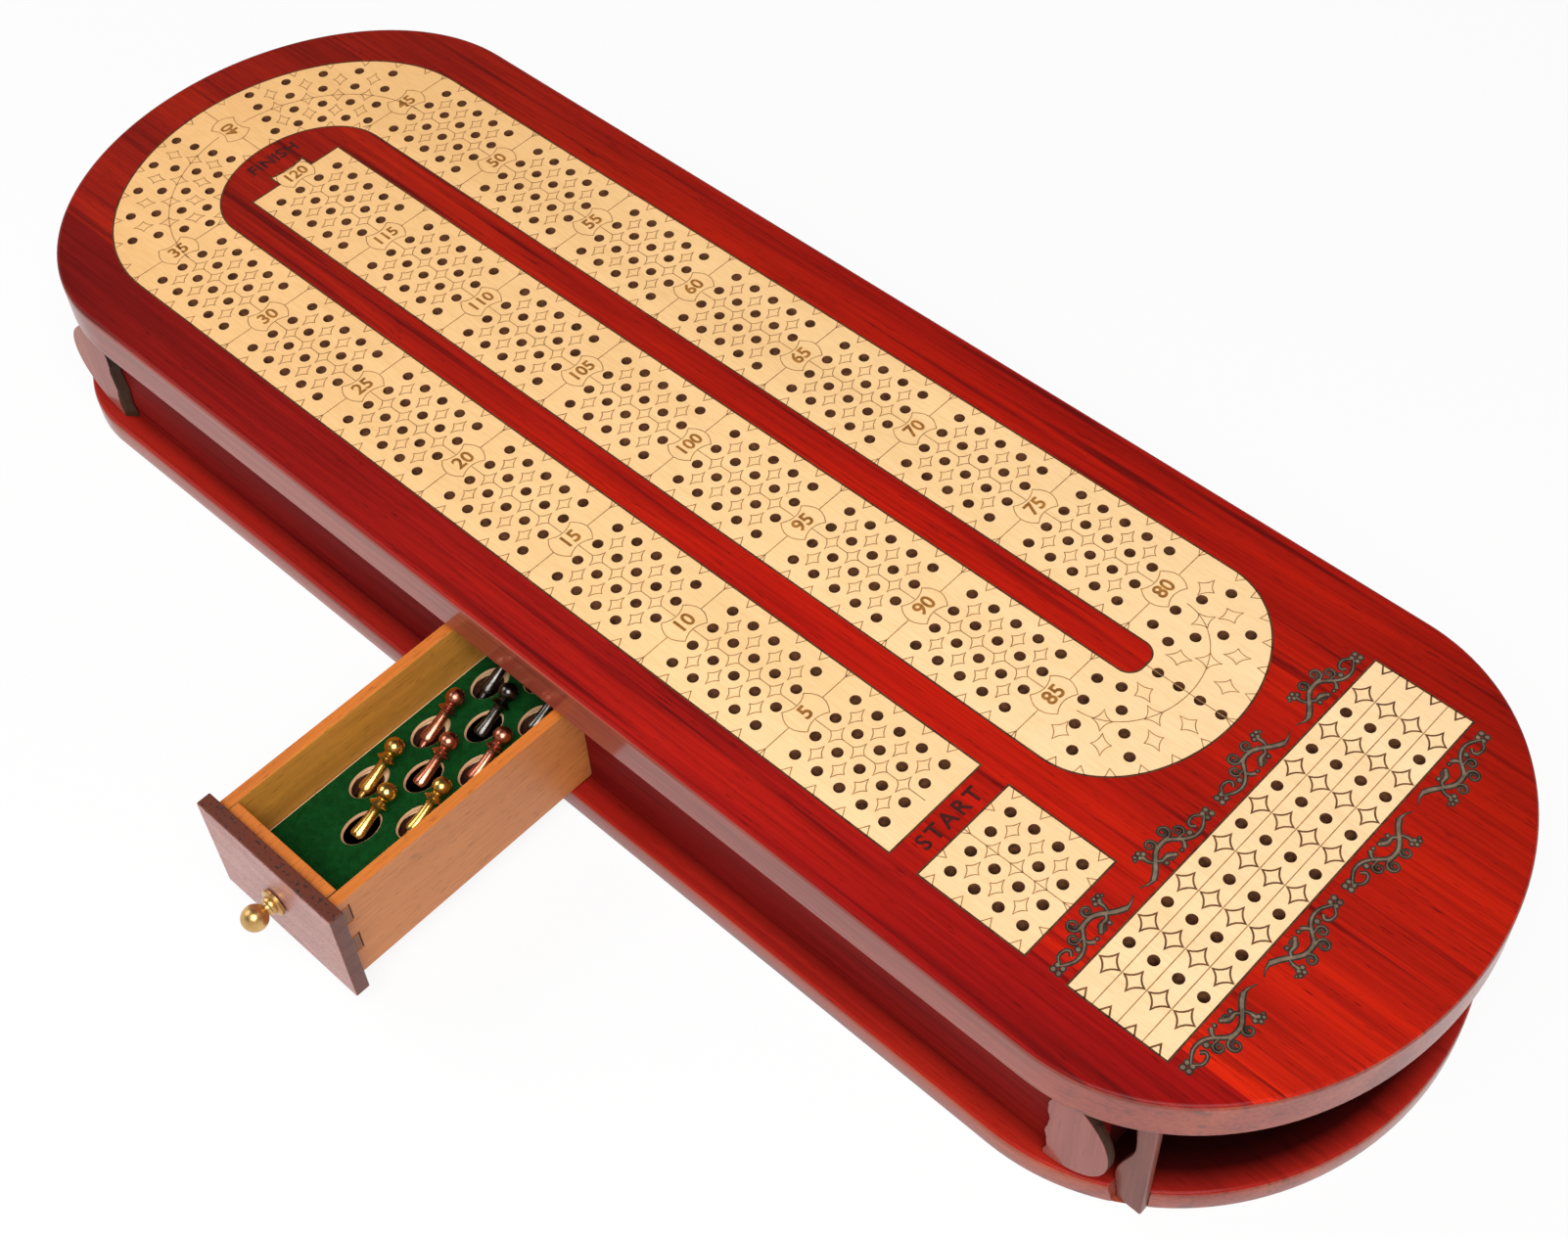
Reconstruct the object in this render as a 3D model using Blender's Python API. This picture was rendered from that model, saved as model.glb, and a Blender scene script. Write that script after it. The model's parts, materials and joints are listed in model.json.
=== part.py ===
"""Four-track cribbage board on a low box, with a peg drawer pulled out of its side.

Metres, +Z up. The origin is the middle of the base's underside, +X runs to the games counter and the drawer
opens towards -Y. The red top slab carries pale inlays with the peg holes, and a base of the same outline
carries the rails, brackets and posts that hold the slab up.
"""

from math import cos, pi, radians, sin

import bmesh
import bpy
from mathutils import Matrix, Vector

# Board and box
BOARD_LENGTH = 0.4598
BOARD_WIDTH = 0.1545
END_DEPTH = 0.062
SLAB_THICKNESS = 0.014
BASE_THICKNESS = 0.008
GAP_HEIGHT = 0.036
EDGE_CHAMFER = 0.0012
RAIL_INSET = 0.0069
RAIL_THICKNESS = 0.007
CORE_INSET = 0.0459
BASE_SHIFT = -0.0012

# Clearance between pieces that touch, and of pieces that slide
SEAT = 0.0003
RUN_CLEARANCE = 0.0006

# Peg holes and the lanes that carry them
HOLE_DIAMETER = 0.003
HOLE_DEPTH = 0.0087
HOLE_SIDES = 5
HOLE_PITCH = 0.007
TRACK_PITCH = 0.00707
TRACKS = 4
HOLES_PER_GROUP = 5
GROUPS_PER_LANE = 7
LANE_WIDTH = 0.0324
LANE_PITCH = 0.0432
LANE_LEFT_MARGIN = 0.058
LANE_RIGHT_MARGIN = 0.1162
INLAY_THICKNESS = 0.0093

# Curve that joins the outer lanes: the inlay's edges, then its tracks from the outermost inwards. Each centre is
# given from the end of the lanes.
LEFT_OUTER_SHIFT = 0.0034
LEFT_OUTER_REACH = 0.0476
LEFT_INNER_SHIFT = 0.0048
LEFT_INNER_REACH = 0.02135
LEFT_TRACK_SHIFT = 0.004
LEFT_SHIFT_STEP = 0.00184
LEFT_TRACK_REACH = 0.0449
LEFT_REACH_STEP = 0.00475
LEFT_FIRST_ROW = 15
LEFT_ROW_STEP = 13
LEFT_ROWS = 5

# Curve that joins the far lane to the middle lane; each row is its angle and how far it fans out per track
RIGHT_OUTER_SHIFT = 0.009
RIGHT_OUTER_REACH = 0.0279
RIGHT_TRACK_SHIFT = 0.0069
RIGHT_SHIFT_STEP = -0.0004
RIGHT_TRACK_REACH = 0.0262
RIGHT_REACH_STEP = 0.0058
RIGHT_ROWS = ((0, 0), (48, 2.7), (76, 7))
FINGER_SHIFT = 0.0109
FINGER_ROUND = 0.0042

# Tab at the end of the last lane, the start block and the games counter
TAB_REACH = 0.0045
TAB_WIDTH = 0.0118
START_GAP = 0.0084
START_LENGTH = 0.0312
COUNTER_MARGIN = 0.0515
COUNTER_WIDTH = 0.0273
COUNTER_LENGTH = 0.118
COUNTER_ROWS = 4
COUNTER_ROW_PITCH = 0.00674
COUNTER_HOLES = 7
COUNTER_HOLE_PITCH = 0.01384

# Half-disc brackets at the ends of the rails, and sawn posts let into the base's rounded edge
BRACKET_SETBACK = 0.0112
BRACKET_REACH = 0.0162
BRACKET_THICKNESS = 0.0026
BRACKET_SCALLOPS = 3
BRACKET_SCALLOP_DEPTH = 0.0007
POST_INSET = 0.0325
POST_SETBACK = 0.0099
POST_THICKNESS = 0.003
POST_TOP_WIDTH = 0.0055
POST_WAIST_WIDTH = 0.0044
POST_WAIST_HEIGHT = 0.022
POST_FOOT_WIDTH = 0.0084
POST_FOOT_HEIGHT = 0.002
POST_TIP_WIDTH = 0.0062
POST_LOW = 0.0005

# Drawer
DRAWER_X = -0.0025
DRAWER_PULL = 0.0788
BOX_WIDTH = 0.0443
BOX_LENGTH = 0.128
BOX_HEIGHT = 0.032
WALL = 0.0033
FLOOR_THICKNESS = 0.003
FINGER_LOW = 0.0093
FINGER_HEIGHT = 0.0065
FINGER_PITCH = 0.013
FINGERS = 2
FRONT_WIDTH = 0.0505
FRONT_SHIFT = 0.001
FRONT_HEIGHT = 0.035
FRONT_THICKNESS = 0.0042
RUNNER_WIDTH = 0.006
RUNNER_HEIGHT = 0.012

# Knob and the screw that holds it
KNOB_BALL_RADIUS = 0.0035
KNOB_REACH = 0.0068
KNOB_FLANGE_RADIUS = 0.0037
KNOB_NECK_RADIUS = 0.0015
KNOB_BORE_DEPTH = 0.0022
SCREW_RADIUS = 0.001
SCREW_HEAD_RADIUS = 0.0023
SCREW_HEAD_HEIGHT = 0.0013

# Peg rest: rows of slanting holes, the middle column half a row nearer the front
REST_HEIGHT = 0.0104
FELT_THICKNESS = 0.0008
FELT_MARGIN = 0.0006
SOCKET_RADIUS = 0.0035
SOCKET_SIDES = 10
SOCKET_SLANT = 40
SOCKET_RISE = 0.02
PEG_COLUMNS = 3
PEG_COLUMN_PITCH = 0.0091
PEG_COLUMN_SHIFT = -0.0012
PEG_FIRST_ROW = 0.024
PEG_ROW_PITCH = 0.0207

# Pegs: ball head, ring, flaring body and the pin that goes into the board. In a socket the body's end is a little
# below the mouth, and the head leans down.
PEG_SIDES = 8
PEG_BALL_RADIUS = 0.0026
PEG_NECK_RADIUS = 0.0014
PEG_RING_RADIUS = 0.0027
PEG_BODY_RADIUS = 0.0023
PEG_BODY_END = 0.0137
PEG_PIN_RADIUS = 0.00142
PEG_PIN_LENGTH = 0.008
PEG_DEPTH = 0.003
PEG_LEAN = 8
PEG_METALS = ("brass", "copper", "nickel", "silver")

# Fineness of the round outlines
END_STEPS = 21
CURVE_STEPS = 19
CORNER_STEPS = 4
BRACKET_STEPS = 15
POST_STEPS = 13
KNOB_SIDES = 14

# Heights and faces that follow from the sizes above
BASE_TOP = BASE_THICKNESS
SLAB_BOTTOM = BASE_TOP + GAP_HEIGHT
BOARD_TOP = SLAB_BOTTOM + SLAB_THICKNESS
RAIL_FACE = BOARD_WIDTH / 2 - RAIL_INSET
RAIL_BACK = RAIL_FACE - RAIL_THICKNESS
CORE_END = BOARD_LENGTH / 2 - CORE_INSET
BRACKET_X = CORE_END - BRACKET_SETBACK
POST_X = BOARD_LENGTH / 2 - POST_INSET
POST_FACE = BOARD_WIDTH / 2 - POST_SETBACK
LANE_LEFT = -BOARD_LENGTH / 2 + LANE_LEFT_MARGIN
LANE_RIGHT = BOARD_LENGTH / 2 - LANE_RIGHT_MARGIN
GROUP_PERIOD = (LANE_RIGHT - LANE_LEFT) / GROUPS_PER_LANE
GROUP_GAP = GROUP_PERIOD - (HOLES_PER_GROUP - 1) * HOLE_PITCH
FIRST_HOLE_X = LANE_RIGHT - GROUP_GAP / 2
LEFT_OUTER_X = LANE_LEFT + LEFT_OUTER_SHIFT
LEFT_INNER_X = LANE_LEFT + LEFT_INNER_SHIFT
RIGHT_OUTER_X = LANE_RIGHT + RIGHT_OUTER_SHIFT
FINGER_END_X = LANE_RIGHT + FINGER_SHIFT
COUNTER_X = BOARD_LENGTH / 2 - COUNTER_MARGIN
START_X = LANE_RIGHT + START_GAP + START_LENGTH / 2
DRAWER_FLOOR_Z = BASE_TOP + RUN_CLEARANCE
FRONT_BACK_Y = -RAIL_FACE - SEAT - DRAWER_PULL
BOX_TOP = DRAWER_FLOOR_Z + BOX_HEIGHT
BOX_INSIDE = BOX_WIDTH - 2 * WALL
REST_TOP = FLOOR_THICKNESS + SEAT + REST_HEIGHT
FELT_TOP = REST_TOP + SEAT + FELT_THICKNESS
KNOB_Z = BASE_TOP + GAP_HEIGHT / 2 - DRAWER_FLOOR_Z
SCREW_HOLE_RADIUS = SCREW_RADIUS + SEAT
PEG_TIP = PEG_BODY_END + PEG_PIN_LENGTH


def clear_scene():
    for obj in list(bpy.data.objects):
        bpy.data.objects.remove(obj)


def finish(name, colour, roughness, metallic=0.0):
    material = bpy.data.materials.new(name)
    material.use_nodes = True
    shader = material.node_tree.nodes["Principled BSDF"]
    shader.inputs["Base Color"].default_value = (*colour, 1.0)
    shader.inputs["Roughness"].default_value = roughness
    shader.inputs["Metallic"].default_value = metallic
    return material


def add_object(name, bm, material=None, parent=None, place=None, smooth=False):
    """Links the shape as one object, with its faces pointing out."""
    bm.normal_update()
    bmesh.ops.recalc_face_normals(bm, faces=bm.faces)
    mesh = bpy.data.meshes.new(name)
    bm.to_mesh(mesh)
    bm.free()
    if smooth:
        mesh.shade_smooth()
        mesh.set_sharp_from_angle(angle=radians(40))
    obj = bpy.data.objects.new(name, mesh)
    bpy.context.scene.collection.objects.link(obj)
    if material:
        mesh.materials.append(material)
    obj.parent = parent
    if place:
        obj.matrix_basis = place
    return obj


def cut(obj, name, bm):
    """Cuts a hidden helper shape out of the object."""
    cutter = add_object(name, bm, parent=obj.parent)
    cutter.hide_render = True
    cutter.display_type = "WIRE"
    modifier = obj.modifiers.new(name, "BOOLEAN")
    modifier.operation = "DIFFERENCE"
    modifier.solver = "EXACT"
    modifier.object = cutter


def add_empty(name, place, parent=None):
    empty = bpy.data.objects.new(name, None)
    bpy.context.scene.collection.objects.link(empty)
    empty.parent = parent
    empty.matrix_basis = place
    return empty


def spread(first, last, count):
    return [first + (last - first) * i / (count - 1) for i in range(count)]


def arc(x, y, across, up, first, last, count):
    """Points of an ellipse from one angle to another, in degrees."""
    turns = [radians(angle) for angle in spread(first, last, count)]
    return [(x + across * cos(turn), y + up * sin(turn)) for turn in turns]


def rectangle(x, y, width, depth):
    left, right = x - width / 2, x + width / 2
    near, far = y - depth / 2, y + depth / 2
    return [(left, near), (right, near), (right, far), (left, far)]


def prism(outline, low, high):
    """A flat outline raised from one height to another."""
    bm = bmesh.new()
    face = bm.faces.new([bm.verts.new((x, y, low)) for x, y in outline])
    raised = bmesh.ops.extrude_face_region(bm, geom=[face])["geom"]
    top = [item for item in raised if isinstance(item, bmesh.types.BMVert)]
    bmesh.ops.translate(bm, verts=top, vec=(0, 0, high - low))
    return bm


def block(x_range, y_range, z_range):
    (left, right), (near, far) = x_range, y_range
    outline = rectangle((left + right) / 2, (near + far) / 2, right - left, far - near)
    return prism(outline, *z_range)


def turned(profile, sides):
    """A profile of radius and height, turned about Z. Its ends lie on the axis."""
    bm = bmesh.new()
    points = [bm.verts.new((radius, 0, height)) for radius, height in profile]
    edges = [bm.edges.new(pair) for pair in zip(points, points[1:])]
    bmesh.ops.spin(
        bm, geom=points + edges, cent=(0, 0, 0), axis=(0, 0, 1), angle=2 * pi, steps=sides, use_merge=True
    )
    bmesh.ops.remove_doubles(bm, verts=bm.verts, dist=1e-6)
    return bm


def board_outline():
    depth = BOARD_LENGTH / 2 - END_DEPTH
    right = arc(depth, 0, END_DEPTH, BOARD_WIDTH / 2, -90, 90, END_STEPS)
    return right + [(-x, -y) for x, y in right]


def chamfered_board(low, high):
    bm = prism(board_outline(), low, high)
    rims = [edge for edge in bm.edges if edge.verts[0].co.z == edge.verts[1].co.z]
    bmesh.ops.bevel(bm, geom=rims, offset=EDGE_CHAMFER, segments=1, profile=0.5, affect="EDGES", material=-1)
    return bm


def track_outline(clear=0.0):
    """The spiral of three lanes and two curves, grown by a clearance for the recess that takes it."""
    half = LANE_WIDTH / 2 + clear
    finger = FINGER_END_X - clear - FINGER_ROUND
    tab = TAB_WIDTH / 2 + clear
    left_end = LANE_LEFT - clear
    outline = [(LANE_RIGHT + clear, -LANE_PITCH - half)]
    outline += arc(LEFT_OUTER_X, 0, LEFT_OUTER_REACH + clear, LANE_PITCH + half, -90, -270, CURVE_STEPS)
    outline += arc(
        RIGHT_OUTER_X, LANE_PITCH / 2, RIGHT_OUTER_REACH + clear, LANE_PITCH / 2 + half, 90, -90, CURVE_STEPS
    )
    outline += [(left_end, -half), (left_end, -tab), (left_end - TAB_REACH, -tab)]
    outline += [(left_end - TAB_REACH, tab), (left_end, tab), (left_end, half)]
    outline += arc(finger, half + FINGER_ROUND, FINGER_ROUND, FINGER_ROUND, -90, 0, CORNER_STEPS)
    outline += arc(finger, LANE_PITCH - half - FINGER_ROUND, FINGER_ROUND, FINGER_ROUND, 0, 90, CORNER_STEPS)
    outline += arc(LEFT_INNER_X, 0, LEFT_INNER_REACH - clear, LANE_PITCH - half, 90, 270, CURVE_STEPS)
    outline.append((LANE_RIGHT + clear, -LANE_PITCH + half))
    return outline


def start_outline(clear=0.0):
    return rectangle(START_X, -LANE_PITCH, START_LENGTH + 2 * clear, LANE_WIDTH + 2 * clear)


def counter_outline(clear=0.0):
    return rectangle(COUNTER_X, 0, COUNTER_WIDTH + 2 * clear, COUNTER_LENGTH + 2 * clear)


def across_lane(track):
    """Offset of a track from its lane's middle, the outermost first."""
    return ((TRACKS - 1) / 2 - track) * TRACK_PITCH


def lane_holes():
    columns = [
        FIRST_HOLE_X - group * GROUP_PERIOD - hole * HOLE_PITCH
        for group in range(GROUPS_PER_LANE)
        for hole in range(HOLES_PER_GROUP)
    ]
    rows = [lane * LANE_PITCH + across_lane(track) for lane in (-1, 0, 1) for track in range(TRACKS)]
    return [(x, y) for x in columns for y in rows]


def left_curve_holes():
    holes = []
    for track in range(TRACKS):
        x = LANE_LEFT + LEFT_TRACK_SHIFT + track * LEFT_SHIFT_STEP
        reach = LEFT_TRACK_REACH - track * LEFT_REACH_STEP
        up = LANE_PITCH + across_lane(track)
        for row in range(LEFT_ROWS):
            turn = radians(LEFT_FIRST_ROW + row * LEFT_ROW_STEP)
            holes += [(x - reach * cos(turn), side * up * sin(turn)) for side in (-1, 1)]
    return holes


def right_curve_holes():
    holes = []
    for track in range(TRACKS):
        x = LANE_RIGHT + RIGHT_TRACK_SHIFT + track * RIGHT_SHIFT_STEP
        reach = RIGHT_TRACK_REACH - track * RIGHT_REACH_STEP
        up = LANE_PITCH / 2 + across_lane(track)
        for angle, fan in RIGHT_ROWS:
            turn = radians(angle + fan * track)
            for side in (-1, 1) if angle else (1,):
                holes.append((x + reach * cos(turn), LANE_PITCH / 2 + side * up * sin(turn)))
    return holes


def start_holes():
    columns = [START_X + across_lane(track) * HOLE_PITCH / TRACK_PITCH for track in range(TRACKS)]
    return [(x, -LANE_PITCH + across_lane(track)) for x in columns for track in range(TRACKS)]


def counter_holes():
    columns = spread(-(COUNTER_ROWS - 1) / 2, (COUNTER_ROWS - 1) / 2, COUNTER_ROWS)
    rows = spread(-(COUNTER_HOLES - 1) / 2, (COUNTER_HOLES - 1) / 2, COUNTER_HOLES)
    return [(COUNTER_X + i * COUNTER_ROW_PITCH, j * COUNTER_HOLE_PITCH) for i in columns for j in rows]


def ring(bm, outline, height):
    points = [bm.verts.new((x, y, height)) for x, y in outline]
    return [bm.edges.new((a, b)) for a, b in zip(points, points[1:] + points[:1])]


def sink(bm, edges, depth):
    """Walls down from closed rings of edges, with a floor in each."""
    lowered = bmesh.ops.extrude_edge_only(bm, edges=edges)["geom"]
    points = {item for item in lowered if isinstance(item, bmesh.types.BMVert)}
    bmesh.ops.translate(bm, verts=list(points), vec=(0, 0, -depth))
    floor = [
        item for item in lowered if isinstance(item, bmesh.types.BMEdge) and points.issuperset(item.verts)
    ]
    bmesh.ops.edgeloop_fill(bm, edges=floor)


def add_inlay(name, outline, holes, material):
    """A pale strip, level with the slab's top, with a blind hole for each peg place."""
    bm = bmesh.new()
    rim = ring(bm, outline, BOARD_TOP)
    mouths = []
    for x, y in holes:
        turns = spread(0, 360 - 360 / HOLE_SIDES, HOLE_SIDES)
        radius = HOLE_DIAMETER / 2
        circle = [(x + radius * cos(radians(turn)), y + radius * sin(radians(turn))) for turn in turns]
        mouths += ring(bm, circle, BOARD_TOP)
    bmesh.ops.triangle_fill(bm, use_beauty=True, edges=rim + mouths)
    sink(bm, mouths, HOLE_DEPTH)
    sink(bm, rim, INLAY_THICKNESS)
    return add_object(name, bm, material)


def add_slab(material):
    slab = add_object("top_slab", chamfered_board(SLAB_BOTTOM, BOARD_TOP), material)
    floor = BOARD_TOP - INLAY_THICKNESS - SEAT
    above = BOARD_TOP + INLAY_THICKNESS
    cut(slab, "track_recess", prism(track_outline(SEAT), floor, above))
    cut(slab, "start_recess", prism(start_outline(SEAT), floor, above))
    cut(slab, "counter_recess", prism(counter_outline(SEAT), floor, above))


def post_width(height):
    """Width of a post: narrow at its waist, widest just above the base."""
    levels = [
        (POST_LOW, POST_TIP_WIDTH),
        (BASE_TOP + POST_FOOT_HEIGHT, POST_FOOT_WIDTH),
        (BASE_TOP + POST_WAIST_HEIGHT, POST_WAIST_WIDTH),
        (SLAB_BOTTOM, POST_TOP_WIDTH),
    ]
    for (low, first), (high, last) in zip(levels, levels[1:]):
        if height <= high:
            part = (height - low) / (high - low)
            return first + (last - first) * (1 - cos(pi * part)) / 2


def add_base(material):
    """The board that stands on the table, with a notch in its rounded edge for each post."""
    shape = chamfered_board(0, BASE_TOP)
    bmesh.ops.translate(shape, verts=shape.verts, vec=(BASE_SHIFT, 0, 0))
    base = add_object("base_slab", shape, material)
    inner, outer = POST_X - POST_FOOT_WIDTH - SEAT, POST_X + SEAT
    back = POST_FACE - POST_THICKNESS - SEAT
    for side_x, side_y, corner in corners():
        across = sorted((side_x * inner, side_x * outer))
        deep = sorted((side_y * back, side_y * BOARD_WIDTH))
        cut(base, "notch_" + corner, block(across, deep, (-BASE_TOP, 2 * BASE_TOP)))


def corners():
    """The four corners, by the side of the board and the end that each is on."""
    return [
        (side_x, side_y, side + "_" + end)
        for side_y, side in ((-1, "near"), (1, "far"))
        for side_x, end in ((-1, "left"), (1, "right"))
    ]


def bracket_outline(side_x):
    """A half disc: round towards the end of the board, with shallow scallops along its straight edge."""
    radius = GAP_HEIGHT / 2 - SEAT
    rounded = arc(0, 0, BRACKET_REACH, radius, -90, 90, BRACKET_STEPS)
    count = 2 * BRACKET_SCALLOPS
    heights = spread(radius, -radius, count + 1)[1:-1]
    scallops = [(BRACKET_SCALLOP_DEPTH * (i % 2 == 0), z) for i, z in enumerate(heights)]
    return [(side_x * x, z) for x, z in rounded + scallops]


def stood_up(bm, side_y, face):
    """Turns a plate drawn flat so that it stands on edge, its back on the face and its front outwards."""
    for vert in bm.verts:
        x, z, depth = vert.co
        vert.co = (x, side_y * (face + depth), z)
    return bm


def add_corners(bracket_material, post_material):
    middle = BASE_TOP + GAP_HEIGHT / 2
    for side_x, side_y, corner in corners():
        outline = [(x + side_x * BRACKET_X, z + middle) for x, z in bracket_outline(side_x)]
        plate = stood_up(prism(outline, 0, BRACKET_THICKNESS), side_y, RAIL_FACE + SEAT)
        add_object("corner_bracket_" + corner, plate, bracket_material)
        heights = spread(SLAB_BOTTOM - SEAT, POST_LOW, POST_STEPS)
        sawn = [(POST_X - post_width(height), height) for height in heights]
        outline = [(POST_X, POST_LOW), (POST_X, SLAB_BOTTOM - SEAT)] + sawn
        post = prism([(side_x * x, z) for x, z in outline], 0, POST_THICKNESS)
        add_object("end_post_" + corner, stood_up(post, side_y, POST_FACE - POST_THICKNESS), post_material)


def add_core(material, plain_wood):
    """The box between the two slabs: rails, end boards, and what guides the drawer."""
    height = (BASE_TOP + SEAT, SLAB_BOTTOM - SEAT)
    opening = BOX_WIDTH / 2 + RUN_CLEARANCE
    near = (-RAIL_FACE, -RAIL_BACK)
    inside = (-RAIL_BACK + SEAT, RAIL_BACK - SEAT)
    add_object("front_rail_left", block((-CORE_END, DRAWER_X - opening), near, height), material)
    add_object("front_rail_right", block((DRAWER_X + opening, CORE_END), near, height), material)
    add_object("back_rail", block((-CORE_END, CORE_END), (RAIL_BACK, RAIL_FACE), height), material)
    add_object("end_board_left", block((-CORE_END, -CORE_END + RAIL_THICKNESS), inside, height), material)
    add_object("end_board_right", block((CORE_END - RAIL_THICKNESS, CORE_END), inside, height), material)
    for side, name in ((-1, "left"), (1, "right")):
        edges = sorted(DRAWER_X + side * reach for reach in (opening, opening + RUNNER_WIDTH))
        runner = block(edges, inside, (BASE_TOP + SEAT, BASE_TOP + SEAT + RUNNER_HEIGHT))
        add_object("drawer_runner_" + name, runner, plain_wood)
    span = (DRAWER_X - opening - RUNNER_WIDTH, DRAWER_X + opening + RUNNER_WIDTH)
    kicker = block(span, inside, (BOX_TOP + RUN_CLEARANCE, SLAB_BOTTOM - SEAT))
    add_object("drawer_kicker", kicker, plain_wood)


def finger_heights(clear):
    lows = [FINGER_LOW + i * FINGER_PITCH for i in range(FINGERS)]
    return [(low - clear, low + FINGER_HEIGHT + clear) for low in lows]


def fingered_end(x, step, clear):
    """Points up one end of a board, stepping in or out at each finger of the joint."""
    points = [(x, 0)]
    for low, high in finger_heights(clear):
        points += [(x, low), (x + step, low), (x + step, high), (x, high)]
    return points + [(x, BOX_HEIGHT)]


def fingered_board(first, last, step, clear):
    """A board with the same fingers at both ends; the step points into the board for notches."""
    left = fingered_end(first, step, clear)
    right = fingered_end(last, -step, clear)
    return left[::-1] + right


def add_drawer(box_wood, front_wood, brass, felt, drawer):
    half = BOX_WIDTH / 2
    near, far = SEAT, SEAT + BOX_LENGTH
    sides = fingered_board(near, far, WALL + SEAT, SEAT)
    for side, name in ((-1, "left"), (1, "right")):
        bm = prism(sides, 0, WALL)
        for vert in bm.verts:
            y, z, depth = vert.co
            vert.co = (side * (half - depth), y, z)
        add_object("drawer_side_" + name, bm, box_wood, drawer)
    ends = fingered_board(-half + WALL + SEAT, half - WALL - SEAT, -WALL - SEAT, 0)
    inner_front = add_object(
        "drawer_inner_front", stood_up(prism(ends, 0, WALL), 1, near), box_wood, drawer
    )
    add_object("drawer_back", stood_up(prism(ends, 0, WALL), 1, far - WALL), box_wood, drawer)
    inside_x = (-BOX_INSIDE / 2 + SEAT, BOX_INSIDE / 2 - SEAT)
    inside_y = (near + WALL + SEAT, far - WALL - SEAT)
    add_object("drawer_bottom", block(inside_x, inside_y, (0, FLOOR_THICKNESS)), box_wood, drawer)
    front_low = SEAT - RUN_CLEARANCE
    front = add_object(
        "drawer_front",
        block(
            (FRONT_SHIFT - FRONT_WIDTH / 2, FRONT_SHIFT + FRONT_WIDTH / 2),
            (-FRONT_THICKNESS, 0),
            (front_low, front_low + FRONT_HEIGHT),
        ),
        front_wood,
        drawer,
    )
    for board, name in ((front, "screw_hole_front"), (inner_front, "screw_hole_inner")):
        hole = bmesh.new()
        bmesh.ops.create_cone(
            hole,
            cap_ends=True,
            segments=PEG_SIDES,
            radius1=SCREW_HOLE_RADIUS,
            radius2=SCREW_HOLE_RADIUS,
            depth=4 * (FRONT_THICKNESS + WALL),
            matrix=Matrix.Translation((FRONT_SHIFT, 0, KNOB_Z)) @ Matrix.Rotation(pi / 2, 4, "X"),
        )
        cut(board, name, hole)
    rest = add_object(
        "peg_rest", block(inside_x, inside_y, (FLOOR_THICKNESS + SEAT, REST_TOP)), box_wood, drawer
    )
    lining = add_object("felt_lining", block(inside_x, inside_y, (REST_TOP + SEAT, FELT_TOP)), felt, drawer)
    cut(rest, "sockets", socket_cutters(SOCKET_RADIUS))
    cut(lining, "felt_openings", socket_cutters(SOCKET_RADIUS + FELT_MARGIN))
    add_knob(brass, drawer)


def add_knob(brass, drawer):
    """Turned knob on the front's face, with a bore for the screw that comes through both front boards."""
    towards_user = Matrix.Rotation(pi / 2, 4, "X")
    ball = arc(0, KNOB_REACH, KNOB_BALL_RADIUS, KNOB_BALL_RADIUS, -60, 90, 9)
    profile = [
        (0, KNOB_BORE_DEPTH),
        (SCREW_HOLE_RADIUS, KNOB_BORE_DEPTH),
        (SCREW_HOLE_RADIUS, SEAT),
        (KNOB_FLANGE_RADIUS, SEAT),
        (KNOB_FLANGE_RADIUS, KNOB_REACH * 0.34),
        (KNOB_FLANGE_RADIUS * 0.8, KNOB_REACH * 0.4),
        (KNOB_NECK_RADIUS, KNOB_REACH * 0.46),
        (KNOB_NECK_RADIUS, KNOB_REACH * 0.52),
    ]
    place = Matrix.Translation((FRONT_SHIFT, -FRONT_THICKNESS, KNOB_Z)) @ towards_user
    knob = turned(profile + ball[:-1] + [(0, KNOB_REACH + KNOB_BALL_RADIUS)], KNOB_SIDES)
    add_object("drawer_knob", knob, brass, drawer, place, smooth=True)
    head = SEAT + WALL + SEAT
    tip = FRONT_THICKNESS + KNOB_BORE_DEPTH - SEAT
    screw = [(0, -tip), (SCREW_RADIUS, -tip), (SCREW_RADIUS, head), (SCREW_HEAD_RADIUS, head)]
    screw += [(SCREW_HEAD_RADIUS, head + SCREW_HEAD_HEIGHT), (0, head + SCREW_HEAD_HEIGHT)]
    from_inside = Matrix.Translation((FRONT_SHIFT, 0, KNOB_Z)) @ Matrix.Rotation(-pi / 2, 4, "X")
    add_object("knob_screw", turned(screw, PEG_SIDES), brass, drawer, from_inside, smooth=True)


def peg_places():
    """Where each socket's axis meets the felt, in the drawer's own frame, with the name of its peg."""
    places = []
    for row, metal in enumerate(PEG_METALS):
        for column in range(PEG_COLUMNS):
            x = PEG_COLUMN_SHIFT + (column - (PEG_COLUMNS - 1) / 2) * PEG_COLUMN_PITCH
            stagger = 0 if column % 2 else PEG_ROW_PITCH / 2
            y = PEG_FIRST_ROW + row * PEG_ROW_PITCH + stagger
            places.append((f"peg_{metal}_{column + 1}", metal, Vector((x, y, FELT_TOP))))
    return places


def slant():
    """Turns Z to the direction in which a peg lifts out."""
    return Matrix.Rotation(radians(SOCKET_SLANT - 90), 4, "X")


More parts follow.
